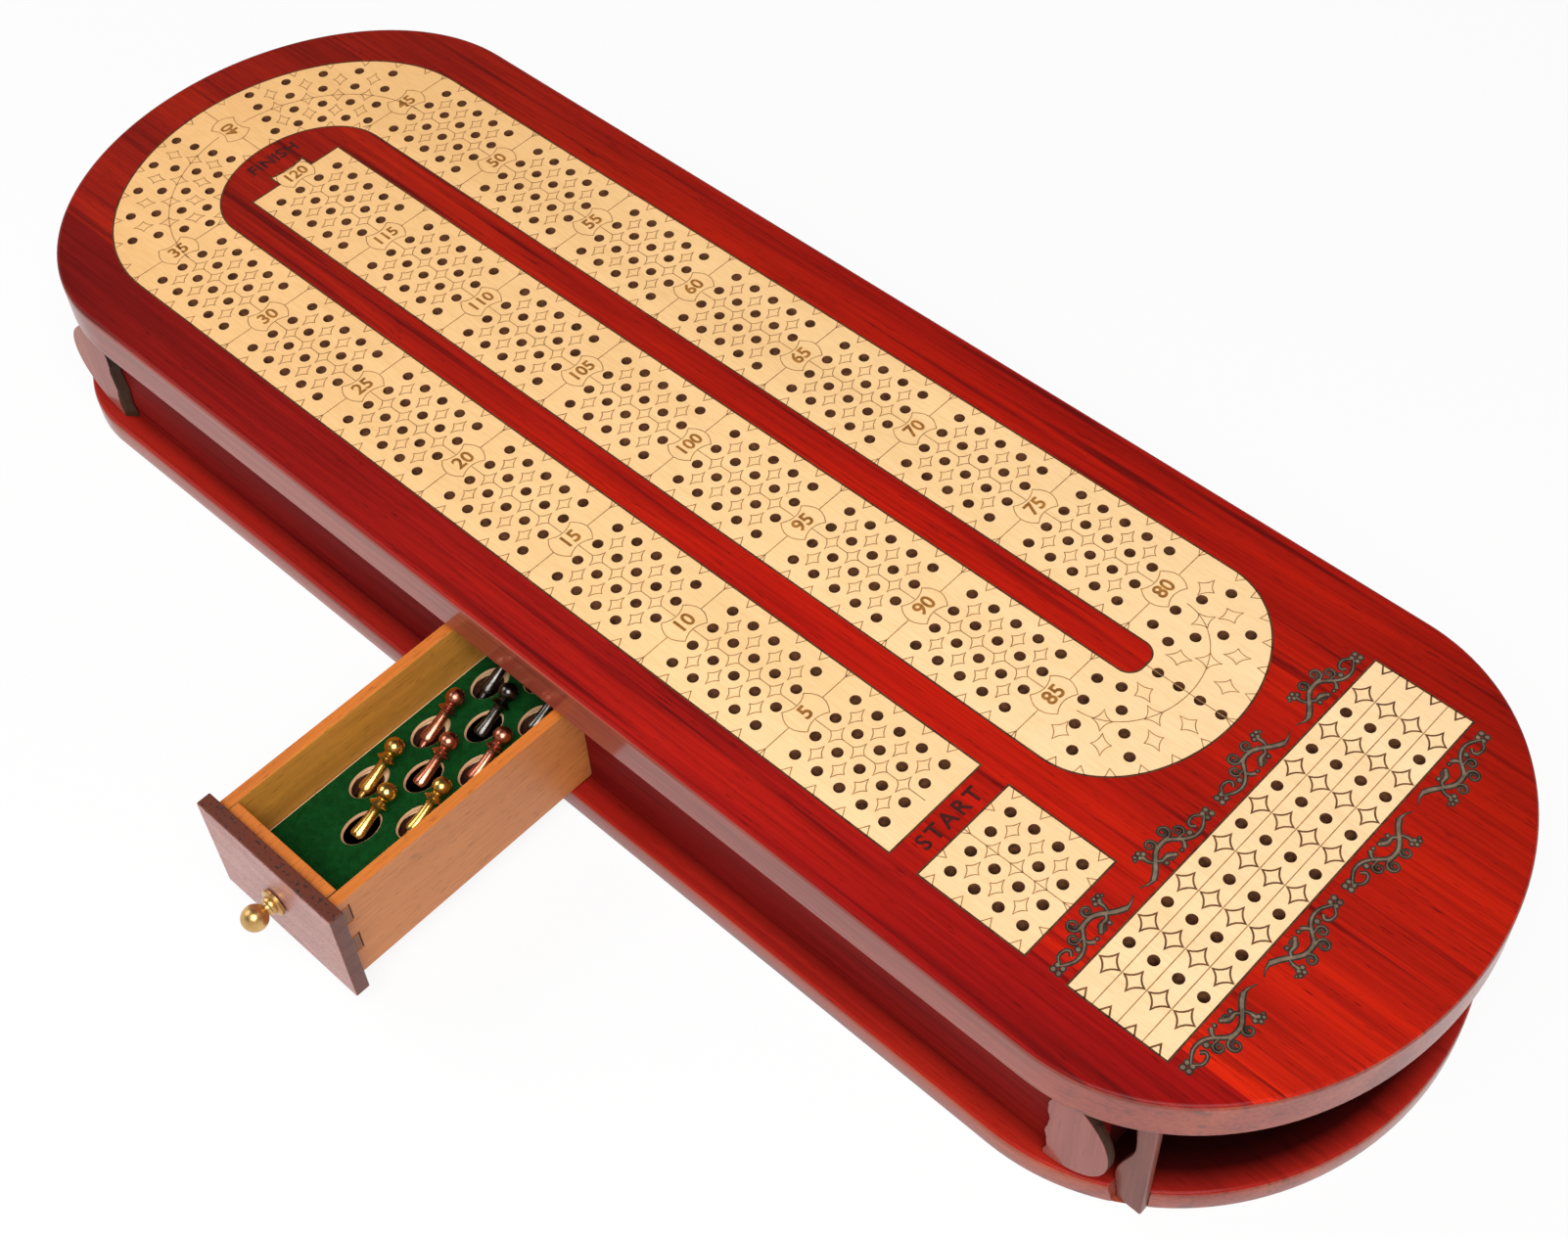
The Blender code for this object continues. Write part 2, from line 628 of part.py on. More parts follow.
def socket_cutters(radius):
    bm = bmesh.new()
    deep = PEG_DEPTH + PEG_PIN_LENGTH + SEAT
    for _, _, mouth in peg_places():
        middle = Matrix.Translation((0, 0, (SOCKET_RISE - deep) / 2))
        bmesh.ops.create_cone(
            bm,
            cap_ends=True,
            segments=SOCKET_SIDES,
            radius1=radius,
            radius2=radius,
            depth=SOCKET_RISE + deep,
            matrix=Matrix.Translation(mouth) @ slant() @ middle,
        )
    return bm


def peg_profile():
    ball = arc(0, 0, PEG_BALL_RADIUS, PEG_BALL_RADIUS, 90, -50, 5)
    flare = [(PEG_NECK_RADIUS, 0.36), (PEG_NECK_RADIUS * 1.15, 0.6), (PEG_BODY_RADIUS, 0.9)]
    body = [(radius, -PEG_BODY_END * share) for radius, share in flare]
    return [
        (0, PEG_BALL_RADIUS),
        *ball[1:],
        (PEG_NECK_RADIUS, -PEG_BODY_END * 0.19),
        (PEG_RING_RADIUS, -PEG_BODY_END * 0.25),
        *body,
        (PEG_PIN_RADIUS, -PEG_BODY_END),
        (PEG_PIN_RADIUS, -PEG_TIP),
        (0, -PEG_TIP),
    ]


def add_pegs(metals, drawer):
    """Each peg lies on the low side of its socket, with its origin in the middle of its ball."""
    drop = SOCKET_RADIUS * cos(pi / SOCKET_SIDES) - PEG_BODY_RADIUS - 2 * SEAT
    seat = Matrix.Translation((0, drop, -PEG_DEPTH)) @ Matrix.Rotation(radians(-PEG_LEAN), 4, "X")
    for name, metal, mouth in peg_places():
        place = Matrix.Translation(mouth) @ slant() @ seat @ Matrix.Translation((0, 0, PEG_BODY_END))
        add_object(name, turned(peg_profile(), PEG_SIDES), metals[metal], drawer, place, smooth=True)


def main():
    clear_scene()
    red_wood = finish("red_hardwood", (0.30, 0.012, 0.010), 0.28)
    plum_wood = finish("sawn_red_hardwood", (0.26, 0.06, 0.055), 0.4)
    maple = finish("pale_maple", (0.86, 0.62, 0.33), 0.45)
    box_wood = finish("honey_wood", (0.42, 0.20, 0.09), 0.5)
    front_wood = finish("dark_open_grained_wood", (0.16, 0.045, 0.035), 0.45)
    felt = finish("green_felt", (0.004, 0.045, 0.008), 0.95)
    metals = {
        "brass": finish("brass", (0.83, 0.56, 0.16), 0.25, 1.0),
        "copper": finish("copper", (0.62, 0.24, 0.15), 0.25, 1.0),
        "nickel": finish("black_nickel", (0.11, 0.10, 0.09), 0.22, 1.0),
        "silver": finish("silver", (0.72, 0.72, 0.70), 0.2, 1.0),
    }
    add_base(red_wood)
    add_core(red_wood, box_wood)
    add_corners(plum_wood, plum_wood)
    add_slab(red_wood)
    add_inlay("track_inlay", track_outline(), lane_holes() + left_curve_holes() + right_curve_holes(), maple)
    add_inlay("start_inlay", start_outline(), start_holes(), maple)
    add_inlay("counter_inlay", counter_outline(), counter_holes(), maple)
    slide = Matrix.Translation((DRAWER_X, FRONT_BACK_Y, DRAWER_FLOOR_Z))
    drawer = add_empty("drawer_slide", slide)
    add_drawer(box_wood, front_wood, metals["brass"], felt, drawer)
    add_pegs(metals, drawer)


main()
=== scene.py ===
# %% [markdown]
# # A cribbage board with a peg drawer
# The real object is a red hardwood board on a raised base. Pale maple strips with peg holes are let into
# its top, and a small drawer in its side holds metal pegs in a felt-lined rest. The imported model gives
# every solid its place, so this lesson only dresses it: finer edges, engraving, turned metal and
# procedural finishes. Starting from the solids keeps the joints true, which modelling everything afresh
# from the picture would not.

# %% Load the frame
import json
from math import cos, pi, radians, sin

import bmesh
import bpy
from mathutils import Matrix, Vector

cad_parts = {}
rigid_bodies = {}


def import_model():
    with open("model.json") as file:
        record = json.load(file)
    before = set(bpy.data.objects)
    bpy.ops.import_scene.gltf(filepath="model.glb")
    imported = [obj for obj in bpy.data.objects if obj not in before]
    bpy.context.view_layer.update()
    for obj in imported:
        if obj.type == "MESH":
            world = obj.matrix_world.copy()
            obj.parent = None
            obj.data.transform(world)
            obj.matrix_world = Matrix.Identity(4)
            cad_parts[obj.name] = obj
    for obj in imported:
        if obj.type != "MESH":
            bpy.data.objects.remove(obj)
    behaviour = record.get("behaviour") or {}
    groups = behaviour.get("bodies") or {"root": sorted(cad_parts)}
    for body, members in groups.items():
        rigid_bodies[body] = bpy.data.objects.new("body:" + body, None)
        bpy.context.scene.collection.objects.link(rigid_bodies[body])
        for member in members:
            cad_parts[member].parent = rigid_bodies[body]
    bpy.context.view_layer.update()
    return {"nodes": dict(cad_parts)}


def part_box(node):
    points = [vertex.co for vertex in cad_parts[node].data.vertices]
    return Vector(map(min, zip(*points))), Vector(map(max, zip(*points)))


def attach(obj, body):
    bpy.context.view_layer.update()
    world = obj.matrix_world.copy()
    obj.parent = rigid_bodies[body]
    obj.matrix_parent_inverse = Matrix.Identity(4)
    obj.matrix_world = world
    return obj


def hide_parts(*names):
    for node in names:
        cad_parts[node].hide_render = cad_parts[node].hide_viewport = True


for startup in list(bpy.data.objects):
    bpy.data.objects.remove(startup)
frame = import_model()
nodes = frame["nodes"]
scene = bpy.context.scene
scene.view_settings.view_transform = "Standard"
board_low, board_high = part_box("top_slab")
base_low, base_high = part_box("base_slab")
PLANED_LOW = 0.0001
BOARD_TOP = board_high.z - PLANED_LOW
HALF_LENGTH, HALF_WIDTH = board_high.x, board_high.y
END_DEPTH = 0.062

# %% [markdown]
# ## Camera
# The picture was taken from above the counter end, about 63 centimetres from the board's middle. The
# lattice of peg holes is known, so the camera's place and turn were solved from it once. Three unit
# vectors say where its right, up and back point, which is easier to trust than three chained angles.

# %% Camera
camera = bpy.data.objects.new("camera", bpy.data.cameras.new("camera"))
scene.collection.objects.link(camera)
camera_right = Vector((0.72986, 0.68264, -0.03609))
camera_up = Vector((-0.52268, 0.59131, 0.61414))
camera_back = Vector((0.44057, -0.42937, 0.78837))
turned_camera = Matrix((camera_right, camera_up, camera_back)).transposed().to_4x4()
camera.matrix_world = Matrix.Translation((0.29292, -0.26304, 0.49296)) @ turned_camera
camera.data.sensor_fit = "HORIZONTAL"
camera.data.sensor_width = 36
camera.data.lens = 51.436
camera.data.clip_start = 0.01
scene.camera = camera
print("Camera at", [round(value, 3) for value in camera.location])

# %% [markdown]
# ## Finishes
# Every finish is a small node graph on Object coordinates, so that grain keeps its scale in metres and
# stays on its piece when the drawer moves. An image would be quicker for wood, but it shows seams and
# repeats. Noise that is stretched along one axis gives fibres, broader bands and pores from the same
# three nodes.

# %% Helpers for the node graphs
def new_finish(name, **sockets):
    """A Principled material; the sockets that are the same all over are set on the shader itself."""
    material = bpy.data.materials.new(name)
    material.use_nodes = True
    shader = material.node_tree.nodes["Principled BSDF"]
    for socket, value in sockets.items():
        shader.inputs[socket.replace("_", " ")].default_value = value
    return material, material.node_tree


def noise(tree, stretch, **settings):
    """Noise on Object coordinates; stretch is how often it repeats per metre along X, Y and Z."""
    place = tree.nodes.new("ShaderNodeTexCoord")
    mapping = tree.nodes.new("ShaderNodeMapping")
    mapping.inputs["Scale"].default_value = stretch
    texture = tree.nodes.new("ShaderNodeTexNoise")
    texture.inputs["Scale"].default_value = 1.0
    for socket, value in settings.items():
        texture.inputs[socket].default_value = value
    tree.links.new(place.outputs["Object"], mapping.inputs["Vector"])
    tree.links.new(mapping.outputs["Vector"], texture.inputs["Vector"])
    return texture.outputs["Fac"]


def ramp(tree, factor, *stops):
    """Colours along a factor; each stop is its place and its colour."""
    node = tree.nodes.new("ShaderNodeValToRGB")
    elements = node.color_ramp.elements
    while len(elements) < len(stops):
        elements.new(0.5)
    for element, (place, colour) in zip(elements, stops):
        element.position = place
        element.color = (*colour, 1.0)
    tree.links.new(factor, node.inputs["Fac"])
    return node.outputs["Color"]


def grey(value):
    return (value, value, value)


def blended(tree, how, amount, first, second):
    """Two colours mixed as in a paint program."""
    node = tree.nodes.new("ShaderNodeMix")
    node.data_type = "RGBA"
    node.blend_type = how
    for socket, value in ((node.inputs[0], amount), (node.inputs[6], first), (node.inputs[7], second)):
        if isinstance(value, bpy.types.NodeSocket):
            tree.links.new(value, socket)
        else:
            socket.default_value = value
    return node.outputs[2]


def along(tree, axis, low, high):
    """0 to 1 along an axis of the object, between two places in metres."""
    place = tree.nodes.new("ShaderNodeTexCoord")
    split = tree.nodes.new("ShaderNodeSeparateXYZ")
    span = tree.nodes.new("ShaderNodeMapRange")
    span.inputs["From Min"].default_value = low
    span.inputs["From Max"].default_value = high
    tree.links.new(place.outputs["Object"], split.inputs["Vector"])
    tree.links.new(split.outputs[axis], span.inputs["Value"])
    return span.outputs["Result"]


def finished(material, colour, gloss, bumps):
    """Puts patterns on a material: gloss goes from dull to shiny, bumps have a strength and a height."""
    tree = material.node_tree
    pattern, dull, shiny = gloss
    roughness = ramp(tree, pattern, (0.3, grey(dull)), (0.7, grey(shiny)))
    height, strength, distance = bumps
    bump = tree.nodes.new("ShaderNodeBump")
    bump.inputs["Strength"].default_value = strength
    bump.inputs["Distance"].default_value = distance
    tree.links.new(height, bump.inputs["Height"])
    sockets = tree.nodes["Principled BSDF"].inputs
    tree.links.new(colour, sockets["Base Color"])
    tree.links.new(roughness, sockets["Roughness"])
    tree.links.new(bump.outputs["Normal"], sockets["Normal"])
    return material


def grain_along(axis, slow, fast):
    """Repeats per metre for fibres that run along an axis."""
    return tuple(slow if name == axis else fast for name in "XYZ")


print("Helpers for finishes are ready")

# %% [markdown]
# ## Red hardwood
# The board's wood is a deep red with darker fibres and short black pores along its length. It is brighter
# past the middle, orange towards the counter end, and darker again in the narrow strip that is glued on
# along the near edge. One flat red would look like plastic, so layers share the work: slow tones along
# the board, broad bands, fine fibres, streaks and pores. The planed top is nearly matt, while the sides
# carry a glossy coat that mirrors the table.

# %% Red hardwood
GLUE_LINE, SEAM = -0.0545, 0.0002
NEAR_EDGE, FAR_EDGE = -0.05, 0.07
# Where the orange band along the seam begins and where it is full: wood figure with a painted sheen.
FIGURE_AND_SHEEN_FROM, FIGURE_AND_SHEEN_FULL = 0.15, 0.21
TONE_END = 0.23


def tones_along(tree, tones):
    """Colours at the left end, past the middle and at the right end."""
    return ramp(tree, along(tree, "X", -TONE_END, TONE_END), *zip((0.0, 0.62, 1.0), tones))


def depth_inside(tree):
    """1 on the rim of the board's outline, falling to 0 on its middle line."""
    node = tree.nodes.new("ShaderNodeTexCoord")
    value = node.outputs["Object"]
    for operation, second in (
        ("ABSOLUTE", None),
        ("SUBTRACT", (HALF_LENGTH - END_DEPTH, 0, 0)),
        ("MAXIMUM", (0, 0, 0)),
        ("MULTIPLY", (1 / END_DEPTH, 1 / HALF_WIDTH, 0)),
        ("LENGTH", None),
    ):
        node = tree.nodes.new("ShaderNodeVectorMath")
        node.operation = operation
        tree.links.new(value, node.inputs[0])
        if second:
            node.inputs[1].default_value = second
        value = node.outputs["Value" if operation == "LENGTH" else "Vector"]
    return value


def red_hardwood(name, axis, tones, dark, coat, near_tones=None, figure=1.0, painted_shade_under_slab=False):
    """Grain along an axis; near_tones are those of the glued strip, and the last flag darkens the face
    inwards as painted shade under the slab.
    """
    material, tree = new_finish(
        name, Coat_Weight=coat, Coat_Roughness=0.12, Coat_IOR=1.6, Specular_IOR_Level=min(0.06, coat)
    )
    bands = noise(tree, grain_along(axis, 5, 75), Detail=4, Roughness=0.55, Distortion=0.4)
    fibres = noise(tree, grain_along(axis, 22, 1100), Detail=5, Roughness=0.6)
    streaks = noise(tree, grain_along(axis, 9, 330), Detail=3, Roughness=0.5)
    pores = noise(tree, grain_along(axis, 170, 2600), Detail=2, Roughness=0.5)
    tone = tones_along(tree, tones)
    if near_tones:
        # Near the counter end the top turns orange along the seam, partly the wood's figure and partly a
        # painted sheen, and darker towards the far edge.
        end = ramp(tree, along(tree, "X", FIGURE_AND_SHEEN_FROM, FIGURE_AND_SHEEN_FULL), (0, grey(0)), (1, grey(1)))
        breadth = along(tree, "Y", GLUE_LINE, FAR_EDGE)
        glow = ramp(tree, breadth, (0, (1.3, 1.45, 1)), (0.2, grey(1)), (0.6, grey(0.95)), (1, grey(0.7)))
        tone = blended(tree, "MULTIPLY", end, tone, glow)
        seam = ramp(tree, along(tree, "Y", GLUE_LINE - SEAM, GLUE_LINE), (0, grey(0)), (1, grey(1)))
        tone = blended(tree, "MIX", seam, tones_along(tree, near_tones), tone)
        darker_far = ramp(tree, along(tree, "Y", NEAR_EDGE, FAR_EDGE), (0, grey(1.06)), (1, grey(0.83)))
        tone = blended(tree, "MULTIPLY", 1.0, tone, darker_far)
    broad = ramp(tree, bands, (0.3, grey(0.6)), (0.5, grey(0.97)), (0.68, (1.3, 1.5, 0.9)))
    fine = ramp(tree, fibres, (0.3, grey(0.5)), (0.55, grey(1.05)), (0.75, (1.35, 1.5, 1.0)))
    dark_lines = ramp(tree, streaks, (0.30, grey(0.8 * figure)), (0.42, grey(0)))
    tone = blended(tree, "MULTIPLY", 0.75 * figure, tone, broad)
    tone = blended(tree, "MULTIPLY", 0.6 * figure, tone, fine)
    tone = blended(tree, "MIX", dark_lines, tone, (*dark, 1))
    tone = blended(tree, "MIX", ramp(tree, pores, (0.27, grey(0.8)), (0.35, grey(0))), tone, (*dark, 1))
    # Painted shade: the face darkens towards the middle of the board, into the end recesses under the slab
    # and along the foot of the rails.
    if painted_shade_under_slab:
        steps = ((0.80, grey(0.03)), (0.87, grey(0.1)), (0.92, grey(0.6)), (0.955, grey(1)))
        tone = blended(tree, "MULTIPLY", 1.0, tone, ramp(tree, depth_inside(tree), *steps))
    pitted = blended(tree, "MULTIPLY", 1.0, fibres, ramp(tree, pores, (0.27, grey(0.2)), (0.34, grey(1))))
    return finished(material, tone, (bands, 0.55, 0.42), (pitted, 0.12, 0.0002))


def plain_red(name, axis, tone, dark, coat, **more):
    """The same wood with one tone from end to end."""
    return red_hardwood(name, axis, (tone, tone, tone), dark, coat, **more)


red_top = red_hardwood(
    "red_hardwood_top",
    "X",
    ((0.30, 0.012, 0.005), (0.43, 0.0088, 0.004), (0.47, 0.012, 0.004)),
    (0.075, 0.003, 0.003),
    0.08,
    ((0.18, 0.006, 0.0045), (0.35, 0.0085, 0.0065), (0.27, 0.0045, 0.0045)),
)
red_side = plain_red("red_hardwood_side", "X", (0.29, 0.048, 0.028), (0.14, 0.028, 0.018), 0.6)
# The base's top takes painted shade where the slab overhangs it.
base_look = {"figure": 0.45, "painted_shade_under_slab": True}
red_base = plain_red("red_hardwood_base", "X", (0.33, 0.013, 0.008), (0.12, 0.005, 0.004), 0.06, **base_look)
# The rails are a darker copy of the red wood: painted shade on the walls under the slab's overhang.
red_rail_painted_shade = plain_red("red_hardwood_rail_painted_shade", "X", (0.19, 0.008, 0.007), (0.05, 0.003, 0.003), 0.015)
# The end boards are nearly black: painted shade deep in the recesses under the slab's ends.
red_end_painted_shade = plain_red("red_hardwood_end_painted_shade", "Y", (0.05, 0.005, 0.005), (0.02, 0.002, 0.002), 0.1)
sawn_red = plain_red("sawn_red_hardwood", "Z", (0.29, 0.075, 0.06), (0.17, 0.04, 0.032), 0.4, figure=0.5)
sawn_post = plain_red("sawn_post", "Z", (0.19, 0.055, 0.042), (0.11, 0.03, 0.022), 0.3, figure=0.7)
# The brackets' sawn edges are much darker: partly rough end grain, partly painted shade.
sawn_edge_grain_and_shade = plain_red("sawn_edge_grain_and_shade", "Z", (0.05, 0.022, 0.013), (0.012, 0.006, 0.004), 0.05)
print("Red hardwood:", red_top.name, red_side.name, red_base.name, red_rail_painted_shade.name, sawn_red.name)

# %% [markdown]
# ## Pale maple and its burnt lines
# The inlays are close-grained maple, straw coloured on the left and nearly cream under the light on the
# right. Its figure is faint: short flecks and a slow waviness. The engraving is burnt in, so it is a soft
# brown that is never quite even. A noise between two browns says that better than one colour would.

# %% Pale maple and burnt lines
def pale_maple():
    material, tree = new_finish("pale_maple", Coat_Weight=0.12, Coat_Roughness=0.3, Specular_IOR_Level=0.2)
    waves = noise(tree, (9, 60, 60), Detail=3, Roughness=0.5, Distortion=0.8)
    flecks = noise(tree, (160, 1500, 1500), Detail=3, Roughness=0.55)
    tone = tones_along(tree, ((0.93, 0.545, 0.225), (0.97, 0.66, 0.335), (0.98, 0.72, 0.43)))
    waved = ramp(tree, waves, (0.3, (0.90, 0.84, 0.74)), (0.65, grey(1.05)))
    flecked = ramp(tree, flecks, (0.3, (0.86, 0.78, 0.66)), (0.6, grey(1.03)))
    tone = blended(tree, "MULTIPLY", 0.5, tone, waved)
    tone = blended(tree, "MULTIPLY", 0.4, tone, flecked)
    return finished(material, tone, (waves, 0.52, 0.42), (flecks, 0.06, 0.0002))


def burnt_lines(name, light, dark):
    """Uneven scorching between two browns."""
    material, tree = new_finish(name, Specular_IOR_Level=0.2)
    uneven = noise(tree, grey(420), Detail=2, Roughness=0.6)
    tone = ramp(tree, uneven, (0.3, dark), (0.7, light))
    return finished(material, tone, (uneven, 0.8, 0.6), (uneven, 0.1, 0.0001))


maple = pale_maple()
burnt_line = burnt_lines("burnt_line", (0.46, 0.24, 0.095), (0.23, 0.105, 0.04))
burnt_bold = burnt_lines("burnt_bold", (0.22, 0.095, 0.036), (0.09, 0.036, 0.014))
burnt_number = burnt_lines("burnt_number", (0.44, 0.185, 0.035), (0.23, 0.085, 0.014))
burnt_border = burnt_lines("burnt_border", (0.13, 0.045, 0.016), (0.045, 0.014, 0.006))
burnt_word = burnt_lines("burnt_word", (0.085, 0.008, 0.006), (0.028, 0.005, 0.004))
scroll_dark = burnt_lines("scroll_dark", (0.060, 0.036, 0.024), (0.018, 0.011, 0.008))
# The pale middle of each scroll stroke is a painted glint.
scroll_painted_glint = burnt_lines("scroll_painted_glint", (0.24, 0.175, 0.115), (0.11, 0.072, 0.048))
print("Maple and its burnt lines are ready")

# %% [markdown]
# ## Drawer woods, felt and metals
# The box is a honey-coloured wood, the show front an open-grained dark one with fine pores along its
# width. Felt is cloudy fibre with a faint sheen. The metals differ in tint and polish only, so one helper
# makes them all.

# %% Drawer woods
def box_wood(name, axis, pale, deep, gloss):
    """Fine pores over soft bands along an axis; gloss is the middle of its roughness."""
    material, tree = new_finish(name, Coat_Weight=0.05, Coat_Roughness=0.3, Specular_IOR_Level=0.4)
    bands = noise(tree, grain_along(axis, 12, 190), Detail=4, Roughness=0.55, Distortion=0.5)
    fibres = noise(tree, grain_along(axis, 60, 2200), Detail=4, Roughness=0.6)
    pores = noise(tree, grain_along(axis, 260, 2000), Detail=2, Roughness=0.5)
    tone = ramp(tree, bands, (0.28, deep), (0.7, pale))
    tone = blended(tree, "MULTIPLY", 1.0, tone, ramp(tree, pores, (0.28, grey(0.62)), (0.4, grey(1))))
    tone = blended(tree, "MULTIPLY", 0.4, tone, ramp(tree, fibres, (0.3, grey(0.7)), (0.7, grey(1.15))))
    return finished(material, tone, (fibres, gloss + 0.08, gloss - 0.04), (fibres, 0.15, 0.0002))


def open_grained(name, pale, deep, pore, coat):
    material, tree = new_finish(name, Coat_Weight=coat, Coat_Roughness=0.3)
    bands = noise(tree, (45, 45, 260), Detail=3, Roughness=0.5, Distortion=0.6)
    pores = noise(tree, (900, 900, 4200), Detail=2, Roughness=0.5)
    tone = ramp(tree, bands, (0.3, deep), (0.7, pale))
    tone = blended(tree, "MIX", ramp(tree, pores, (0.35, grey(0.9)), (0.44, grey(0))), tone, (*pore, 1))
    pits = ramp(tree, pores, (0.33, grey(0)), (0.43, grey(1)))
    return finished(material, tone, (bands, 0.5, 0.38), (pits, 0.3, 0.0002))


honey_side = box_wood("honey_wood", "Y", (0.57, 0.205, 0.055), (0.51, 0.175, 0.045), 0.42)
honey_edge = box_wood("honey_edge", "Y", (0.71, 0.20, 0.025), (0.56, 0.14, 0.018), 0.5)
olive_wall = box_wood("olive_wall", "Y", (0.80, 0.36, 0.055), (0.58, 0.24, 0.036), 0.4)
finger_end = box_wood("finger_end", "Z", (0.36, 0.15, 0.07), (0.2, 0.08, 0.04), 0.55)
rest_wood = box_wood("rest_wood", "Y", (0.88, 0.64, 0.38), (0.76, 0.50, 0.27), 0.55)
rim_wood = box_wood("rim_wood", "Y", (0.80, 0.48, 0.26), (0.60, 0.32, 0.16), 0.55)
# Socket walls in the rest: partly end grain, partly painted shade.
socket_grain_and_shade = burnt_lines("socket_grain_and_shade", (0.09, 0.03, 0.018), (0.03, 0.009, 0.006))
front_wood = open_grained(
    "dark_open_grained_wood", (0.47, 0.195, 0.165), (0.39, 0.15, 0.12), (0.13, 0.035, 0.03), 0.25
)
front_edge = open_grained(
    "front_edge_grain", (0.15, 0.028, 0.010), (0.10, 0.018, 0.007), (0.02, 0.006, 0.004), 0.1
)
print("Drawer woods:", honey_side.name, olive_wall.name, front_wood.name)

# %% Felt and metals
def green_felt():
    sheen = {"Sheen_Weight": 0.06, "Sheen_Roughness": 0.6, "Sheen_Tint": (0.25, 0.7, 0.3, 1)}
    material, tree = new_finish("green_felt", Specular_IOR_Level=0.1, **sheen)
    clouds = noise(tree, grey(420), Detail=6, Roughness=0.7, Distortion=0.5)
    fuzz = noise(tree, grey(3800), Detail=4, Roughness=0.7)
    tone = ramp(tree, clouds, (0.3, (0.0012, 0.034, 0.004)), (0.7, (0.0032, 0.075, 0.011)))
    tone = blended(tree, "MULTIPLY", 0.7, tone, ramp(tree, fuzz, (0.3, grey(0.5)), (0.7, grey(1.5))))
    return finished(material, tone, (clouds, 1.0, 0.9), (fuzz, 0.6, 0.0004))


def metal(name, colour, tarnish, roughness):
    material, tree = new_finish(name, Metallic=1.0)
    clouds = noise(tree, grey(260), Detail=5, Roughness=0.65)
    scuffs = noise(tree, grey(2400), Detail=3, Roughness=0.6)
    tone = ramp(tree, clouds, (0.35, tarnish), (0.62, colour))
    return finished(material, tone, (clouds, roughness + 0.14, roughness), (scuffs, 0.05, 0.0001))


felt = green_felt()
metals = {
    "brass": metal("brass", (0.86, 0.58, 0.17), (0.62, 0.36, 0.08), 0.2),
    "copper": metal("copper", (0.70, 0.29, 0.19), (0.46, 0.15, 0.09), 0.2),
    "nickel": metal("black_nickel", (0.13, 0.12, 0.11), (0.05, 0.045, 0.04), 0.17),
    # The silver is toned darker than bright silver: painted shade on the pegs that sit nearest the slab's
    # overhang.
    "silver": metal("silver", (0.62, 0.62, 0.59), (0.40, 0.39, 0.36), 0.16),
}
knob_brass = metal("knob_brass", (0.70, 0.45, 0.18), (0.52, 0.31, 0.11), 0.26)
print("Felt and", len(metals), "metals")

# %% [markdown]
# ## Putting a piece on its body
# Each new piece is one mesh object at the origin with its place in its vertices. It rides on a body of the
# frame, takes its finishes, and hides the solids it stands for, so one helper does all of that.

# %% Place a finished shape
MERGE, LEVEL_NORMAL, MUCH_WIDER = 1e-6, 0.9999, 12


def is_soft(edge, smooth):
    """Whether light runs on over an edge: not over a sharp one, nor from a narrow face to a wide one."""
    if not edge.is_manifold or edge.calc_face_angle() > radians(smooth):
        return False
    if edge.calc_face_angle() < radians(1):
        return True
    areas = [face.calc_area() for face in edge.link_faces]
    level = any(abs(face.normal.z) > LEVEL_NORMAL for face in edge.link_faces)
    return max(areas) < MUCH_WIDER * min(areas) and not level


def add_piece(name, bm, finishes, body, stands_for=(), smooth=40):
    """Turns the shape into a piece of the object that rides on a body."""
    bm.normal_update()
    for face in bm.faces:
        face.smooth = True
    for edge in bm.edges:
        edge.smooth = is_soft(edge, smooth)
    mesh = bpy.data.meshes.new(name)
    bm.to_mesh(mesh)
    bm.free()
    for finish in finishes:
        mesh.materials.append(finish)
    piece = bpy.data.objects.new(name, mesh)
    scene.collection.objects.link(piece)
    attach(piece, body)
    if stands_for:
        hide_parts(*stands_for)
    return piece


def copy_of(node):
    """The solid's own mesh, merged, with its flat faces whole again."""
    bm = bmesh.new()
    bm.from_mesh(nodes[node].data)
    bmesh.ops.remove_doubles(bm, verts=bm.verts, dist=MERGE)
    bmesh.ops.dissolve_limit(bm, angle_limit=radians(1), verts=bm.verts, edges=bm.edges)
    return bm


def eased(bm, width, sharpest=30):
    """Eases every edge that is sharper than an angle, as sandpaper would."""
    bmesh.ops.recalc_face_normals(bm, faces=bm.faces)
    edges = [edge for edge in bm.edges if edge.is_manifold and edge.calc_face_angle() > radians(sharpest)]
    rounding = {"profile": 0.5, "affect": "EDGES", "material": -1, "clamp_overlap": True}
    bmesh.ops.bevel(bm, geom=edges, offset=width, segments=2, **rounding)
    return bm


print("Pieces can be placed")

# %% [markdown]
# ## Outlines of the board and its inlays
# Straight sides run into half ellipses at both ends, and the track is a spiral of three lanes with a
# curve at each end. The same few sizes as the solids give finer outlines here. Tracing the picture would
# give wavy edges, while arcs with more steps give the clean edge that a router leaves. The planed top
# lies a hair low, so that what is burnt into it stays inside the solids' box.

